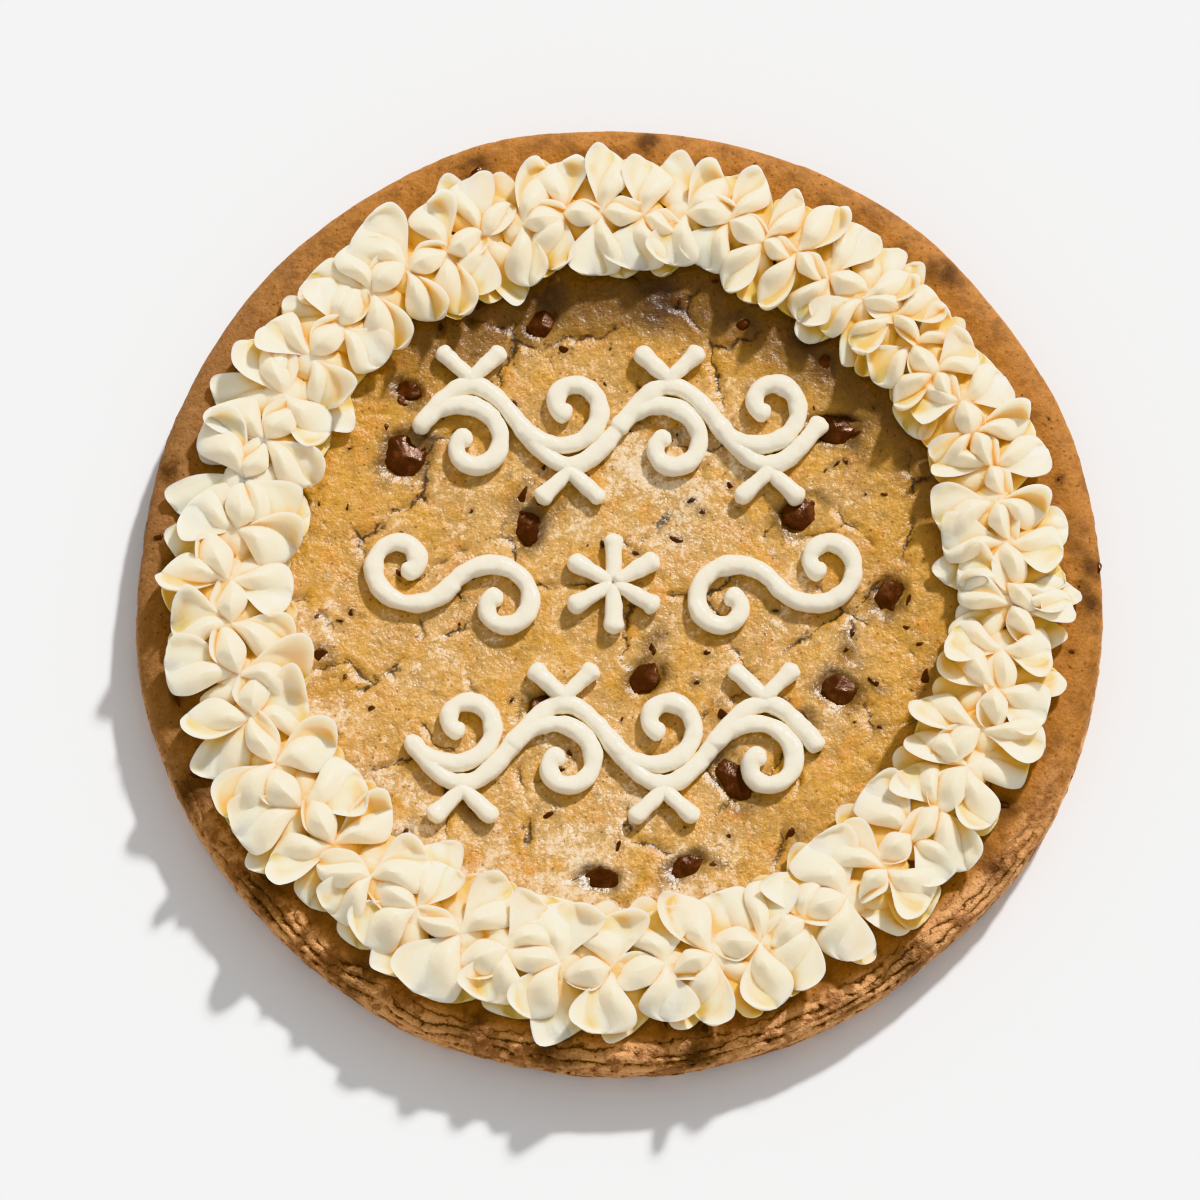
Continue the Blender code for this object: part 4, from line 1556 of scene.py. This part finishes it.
def lines_mesh(name, paths, rng):
    """All lines of a motif as edges, drawn out a little at both ends, with the radius stored on the
    points and the lift in their height.
    """
    places = []
    edges = []
    radii = []
    for layer, root, path in paths:
        ends = path[[0, -1]] + 0.42 * LINE_WIDTH * np.array([
            (path[0] - path[1]) / np.linalg.norm(path[0] - path[1]) * root,
            (path[-1] - path[-2]) / np.linalg.norm(path[-1] - path[-2]),
        ])
        line, even = even_points(np.vstack((ends[:1], path, ends[1:])))
        first = len(places)
        places.extend((x, y, layer * LAYER_LIFT) for x, y in line)
        edges.extend((first + k, first + k + 1) for k in range(len(line) - 1))
        radii.extend(line_radii(even, root, rng))
    mesh = mesh_of(name, places, edges=edges)
    store(mesh, "line_radius", radii)
    return mesh


line_rng = np.random.default_rng(LINE_SEED)
line_meshes = {name: lines_mesh(name, paths, line_rng) for name, paths in MOTIFS.items()}
print({name: len(mesh.vertices) for name, mesh in line_meshes.items()})

# %% [markdown]
# Geometry Nodes sweep a circle along each line, with the stored radius. The tubes are then
# fused one by one, so that no faces are left inside, and pressed flatter by their own
# weight. Last, every point is lifted by the height of the dough below it. That height
# comes from rays shot down at the finished dough, read on a coarse grid so that the icing
# bridges small wrinkles.

# %% Icing that lies on the dough
def icing_tree(material):
    tree, given = geometry_tree("icing_lines", {"Flatness": LINE_FLATNESS, "Width factor": 1.0})
    curve = put(tree, "GeometryNodeMeshToCurve", {"Mesh": given["Geometry"]}).outputs[0]
    radius = times(tree, attribute(tree, "line_radius"), given["Width factor"])
    sockets = {"Resolution": 20, "Radius": 1.0}
    circle = put(tree, "GeometryNodeCurvePrimitiveCircle", sockets)
    sockets = {"Curve": curve, "Profile Curve": circle.outputs[0], "Fill Caps": True, "Scale": radius}
    tubes = put(tree, "GeometryNodeCurveToMesh", sockets).outputs[0]
    island = tree.nodes.new("GeometryNodeInputMeshIsland").outputs["Island Index"]
    sockets = {"Geometry": tubes, "Group ID": island}
    single = put(tree, "GeometryNodeSplitToInstances", sockets, domain="POINT").outputs[0]
    place = tree.nodes.new("GeometryNodeInputPosition").outputs[0]
    flat = put(tree, "ShaderNodeCombineXYZ", {0: 1.0, 1: 1.0, 2: given["Flatness"]}).outputs[0]
    sockets = {"Geometry": fused(tree, single), "Position": vector_calc(tree, "MULTIPLY", place, flat)}
    pressed = put(tree, "GeometryNodeSetPosition", sockets).outputs[0]
    return finished(tree, made_real(tree, pressed, material))


dough_corners = [tuple(face.vertices) for face in dough_mesh.polygons]
dough_faces = BVHTree.FromPolygons([tuple(p) for p in mesh_points(dough_mesh)], dough_corners)
LOOK_FROM = 0.06
SEAT_SPACING = 2.0 * MM
SEAT_REACH = 106.0 * MM
UNEVEN_DEPTH = 0.22 * MM
SHARP_ICING = radians(50.0)
LINE_LIFT = 0.5 * PIPED_SHARE * LINE_WIDTH * LINE_FLATNESS - LINE_SINK


def dough_height(x, y):
    """Height of the finished dough at a place."""
    hit = dough_faces.ray_cast(Vector((x, y, LOOK_FROM)), Vector((0.0, 0.0, -1.0)))[0]
    return hit.z if hit is not None else float(top_height(x, y))


def height_grid(spacing, reach):
    """Dough heights on a grid, blurred once."""
    line = np.arange(-reach, reach + spacing, spacing)
    heights = np.array([[dough_height(x, y) for x in line] for y in line])
    soft = heights.copy()
    for dx in (-1, 0, 1):
        for dy in (-1, 0, 1):
            soft += np.roll(heights, (dy, dx), (0, 1))
    return line, soft / 10.0


SEAT_LINE, SEAT = height_grid(SEAT_SPACING, SEAT_REACH)


def seat_height(x, y):
    """Dough heights between the grid points, for arrays."""
    spacing = SEAT_LINE[1] - SEAT_LINE[0]
    u = np.clip((x - SEAT_LINE[0]) / spacing, 0, len(SEAT_LINE) - 1.001)
    v = np.clip((y - SEAT_LINE[0]) / spacing, 0, len(SEAT_LINE) - 1.001)
    i = u.astype(int)
    j = v.astype(int)
    fu = u - i
    fv = v - j
    low = SEAT[j, i] * (1 - fu) + SEAT[j, i + 1] * fu
    high = SEAT[j + 1, i] * (1 - fu) + SEAT[j + 1, i + 1] * fu
    return low * (1 - fv) + high * fv


def unevenness(place):
    """How far a point of the icing's skin stands out."""
    return UNEVEN_DEPTH * (field.noise(place / (2.6 * MM)) + 0.6 * field.noise(place / (1.2 * MM)))


lines_tree = icing_tree(icing)
for name, mesh in line_meshes.items():
    made = shaped_by(lines_tree, mesh, f"{name}_icing")
    points = mesh_points(made)
    points[:, 2] += LINE_LIFT + seat_height(points[:, 0], points[:, 1])
    uneven = np.array([unevenness(Vector(p)) for p in points])
    points += uneven[:, None] * mesh_normals(made)
    made.vertices.foreach_set("co", points.ravel())
    made.update()
    turned_out(made)
    fold_numbers(made, reach=0.5 * MM, rounds=5)
    piece(made.name, made, icing, (name,))
    made.set_sharp_from_angle(angle=SHARP_ICING)
    print(made.name, len(made.polygons), "faces, up to", round(points[:, 2].max() / MM, 1), "mm")

# %% [markdown]
# A chunk of chocolate is a broken piece of a bar. Its outline has a few straight sides, its
# top is chiselled by flat breaks that lean different ways, and its edges have softened in
# the oven. The outline repeats the corners of the solid. The top is the lowest of a few
# leaning planes, which gives flat facets with ridges between them, and a fine noise
# roughens it.

# %% Material of the chocolate
CHOCOLATE = colour(62, 34, 22)
CHOCOLATE_PALE = colour(96, 57, 38)


def chocolate_material():
    material, tree, shader = new_material("dark_chocolate")
    place = tree.nodes.new("ShaderNodeTexCoord").outputs["Object"]
    bloom = noise(tree, place, 5.0 * MM, 4.0, 0.65)
    grain = grain_at(tree, place, 0.8 * MM)
    tone = mix(tree, step(tree, bloom, 0.46, 0.68, 0.0, 0.8), CHOCOLATE, CHOCOLATE_PALE)
    connect(tree, shader, {
        "Base Color": shaded(tree, tone, calc(tree, "MULTIPLY_ADD", grain, 0.36, 0.82)),
        "Roughness": step(tree, bloom, 0.35, 0.65, 0.20, 0.42),
        "Height": calc(tree, "MULTIPLY_ADD", grain, 0.03 * MM, times(tree, bloom, 0.35 * MM)),
    })
    shader.inputs["Specular IOR Level"].default_value = 0.36
    shader.inputs["Specular Tint"].default_value = (1.0, 0.66, 0.48, 1.0)
    return material


chocolate = chocolate_material()
print("chocolate ready")

# %% The chunks
CHUNK_DEPTH = 6.5 * MM
CHUNK_CORNERS = 6
CORNER_SPREAD = 0.22
SQUARENESS = 0.65
LONGEST_CORNER = 1.25
CHUNK_AROUND = 48
CHUNK_RINGS = 9
CHUNK_RISE = 0.8 * MM
CHUNK_PLANES = 5
CHUNK_LEAN = 0.2
CHUNK_LOWEST = -1.2 * MM
CHUNK_ROUGH = 0.16 * MM
CHUNK_RAG = 0.025
ROUGH_SEED = 7
SHARP_CHUNK = radians(32.0)
# Share of the depth and of the outline for each ring of the wall
CHUNK_WALL = (
    (0.30, 1.03),
    (0.60, 1.02),
    (1.00, 0.94),
)


def chunk_outline(place, seed):
    """Corners of a broken chunk, the same as the solid's."""
    x0, y0, length, width, turn = place
    rng = np.random.default_rng(seed)
    corners = []
    for k in range(CHUNK_CORNERS):
        angle = tau * (k + rng.uniform(-CORNER_SPREAD, CORNER_SPREAD)) / CHUNK_CORNERS
        square = 1.0 / max(abs(cos(angle)), abs(sin(angle)))
        reach = (1.0 - SQUARENESS + SQUARENESS * square) * rng.uniform(0.9, 1.04)
        reach = min(reach, LONGEST_CORNER)
        x = 0.5 * length * reach * cos(angle)
        y = 0.5 * width * reach * sin(angle)
        corners.append((x * cos(turn) - y * sin(turn), x * sin(turn) + y * cos(turn)))
    return np.array(corners)


def even_outline(corners, count):
    """Points at even steps round a closed outline, with slightly worn corners."""
    closed = np.vstack((corners, corners[:1]))
    legs = np.hypot(*np.diff(closed, axis=0).T)
    along = np.concatenate(([0.0], np.cumsum(legs)))
    even = np.linspace(0.0, along[-1], count, endpoint=False)
    line = np.column_stack([np.interp(even, along, closed[:, axis]) for axis in (0, 1)])
    return 0.5 * line + 0.25 * (np.roll(line, 1, 0) + np.roll(line, -1, 0))


def chunk_mesh(name, place, seed):
    x0, y0 = place[:2]
    outline = even_outline(chunk_outline(place, seed), CHUNK_AROUND)
    rng = np.random.default_rng(seed + ROUGH_SEED)
    outline = outline * (1.0 + CHUNK_RAG * rng.normal(0.0, 1.0, (CHUNK_AROUND, 1)))
    planes = []
    for _ in range(CHUNK_PLANES):
        height = rng.uniform(0.6, 1.3) * CHUNK_RISE
        planes.append((height, *rng.normal(0.0, CHUNK_LEAN, 2)))
    middle = float(top_height(x0, y0))

    def top_at(x, y):
        facet = min(height + ax * x + ay * y for height, ax, ay in planes)
        spot = Vector((x0 + x, y0 + y, seed * MM))
        return middle + max(facet, CHUNK_LOWEST) + CHUNK_ROUGH * field.noise(spot / (1.8 * MM))

    points = [(x0, y0, top_at(0.0, 0.0))]
    for ring in range(1, CHUNK_RINGS + 1):
        share = ring / CHUNK_RINGS
        for x, y in outline:
            fall = 0.5 * MM * max(share - 0.88, 0.0) / 0.12
            points.append((x0 + share * x, y0 + share * y, top_at(share * x, share * y) - fall))
    for drop, grow in CHUNK_WALL:
        for x, y in outline:
            spot = Vector((x, y, drop * CHUNK_DEPTH))
            wide = grow + 0.06 * field.noise(spot / (2.2 * MM))
            points.append((x0 + wide * x, y0 + wide * y, middle - drop * CHUNK_DEPTH))
    faces = [(0, 1 + k, 1 + (k + 1) % CHUNK_AROUND) for k in range(CHUNK_AROUND)]
    starts = range(1, len(points), CHUNK_AROUND)
    rings = [range(start, start + CHUNK_AROUND) for start in starts]
    for upper, lower in zip(rings, rings[1:]):
        faces += ring_faces(upper, lower)
    faces.append(tuple(rings[-1]))
    mesh = mesh_of(name, points, faces)
    turned_out(mesh)
    return mesh


for number, (given_place, place) in enumerate(zip(CHUNKS, chunk_places()), 1):
    node = f"chocolate_chunk_{number:02d}"
    seed = int(abs(given_place[0] * 31 + given_place[1]))
    made = chunk_mesh(f"{node}_broken", place, seed)
    piece(made.name, made, chocolate, (node,))
    made.set_sharp_from_angle(angle=SHARP_CHUNK)
print(len(CHUNKS), "chunks shaped")

# %% [markdown]
# Small flakes of the same chocolate lie all over. They come from a few makes: thin broken
# slabs, thicker crumbs and slivers. Geometry Nodes set them on stored points, each turned,
# tilted and sized in its own way and sunk in so far that only the upper part shows.

# %% The flakes
FLAKE_MAKES = 6
FLAKE_MAKE_SEED = 77
FLAKE_CUTS = 9
FLAKE_SINK = 0.42
FLAKE_TILT = 0.22
SHARP_FLAKE = radians(30.0)


def flake_mesh(name, rng):
    """A broken slab about 1 mm long, wide and high, to be scaled."""
    shape = bmesh.new()
    bmesh.ops.create_icosphere(shape, subdivisions=2, radius=0.5 * MM)
    cuts = rng.normal(0.0, 1.0, (FLAKE_CUTS, 3))
    cuts /= np.linalg.norm(cuts, axis=1)[:, None]
    limits = rng.uniform(0.20, 0.44, FLAKE_CUTS) * MM
    for corner in shape.verts:
        spot = np.array(corner.co)
        for cut, limit in zip(cuts, limits):
            beyond = max(float(spot @ cut) - limit, 0.0)
            spot = spot - beyond * cut
        corner.co = Vector(spot)
    return mesh_from(name, shape)


flake_rng = np.random.default_rng(FLAKE_MAKE_SEED)
flakes = bpy.data.collections.new("flakes")
for make in range(FLAKE_MAKES):
    name = f"flake_{make}"
    flakes.objects.link(bpy.data.objects.new(name, flake_mesh(name, flake_rng)))
flake_spots = []
flake_turns = []
flake_sizes = []
for x, y, length, width, turn in FLAKES:
    thick = flake_rng.uniform(0.5, 0.8) * width
    seat = dough_height(x, y) - FLAKE_SINK * thick
    flake_spots.append((x, y, seat + flake_rng.uniform(0.1, 0.5) * MM))
    flake_turns.append((*flake_rng.normal(0.0, FLAKE_TILT, 2), turn))
    flake_sizes.append((length / MM, width / MM, thick / MM))
picks = flake_rng.integers(0, FLAKE_MAKES, len(FLAKES))
flake_cloud = point_mesh("flake_points", flake_spots, picks, flake_turns, flake_sizes)
flakes_tree = set_out_tree("flakes_on_the_dough", flakes, chocolate)
flakes_mesh = shaped_by(flakes_tree, flake_cloud, "chocolate_flakes")
piece("chocolate_flakes", flakes_mesh, chocolate, ())
flakes_mesh.set_sharp_from_angle(angle=SHARP_FLAKE)
print(len(FLAKES), "flakes,", len(flakes_mesh.polygons), "faces")
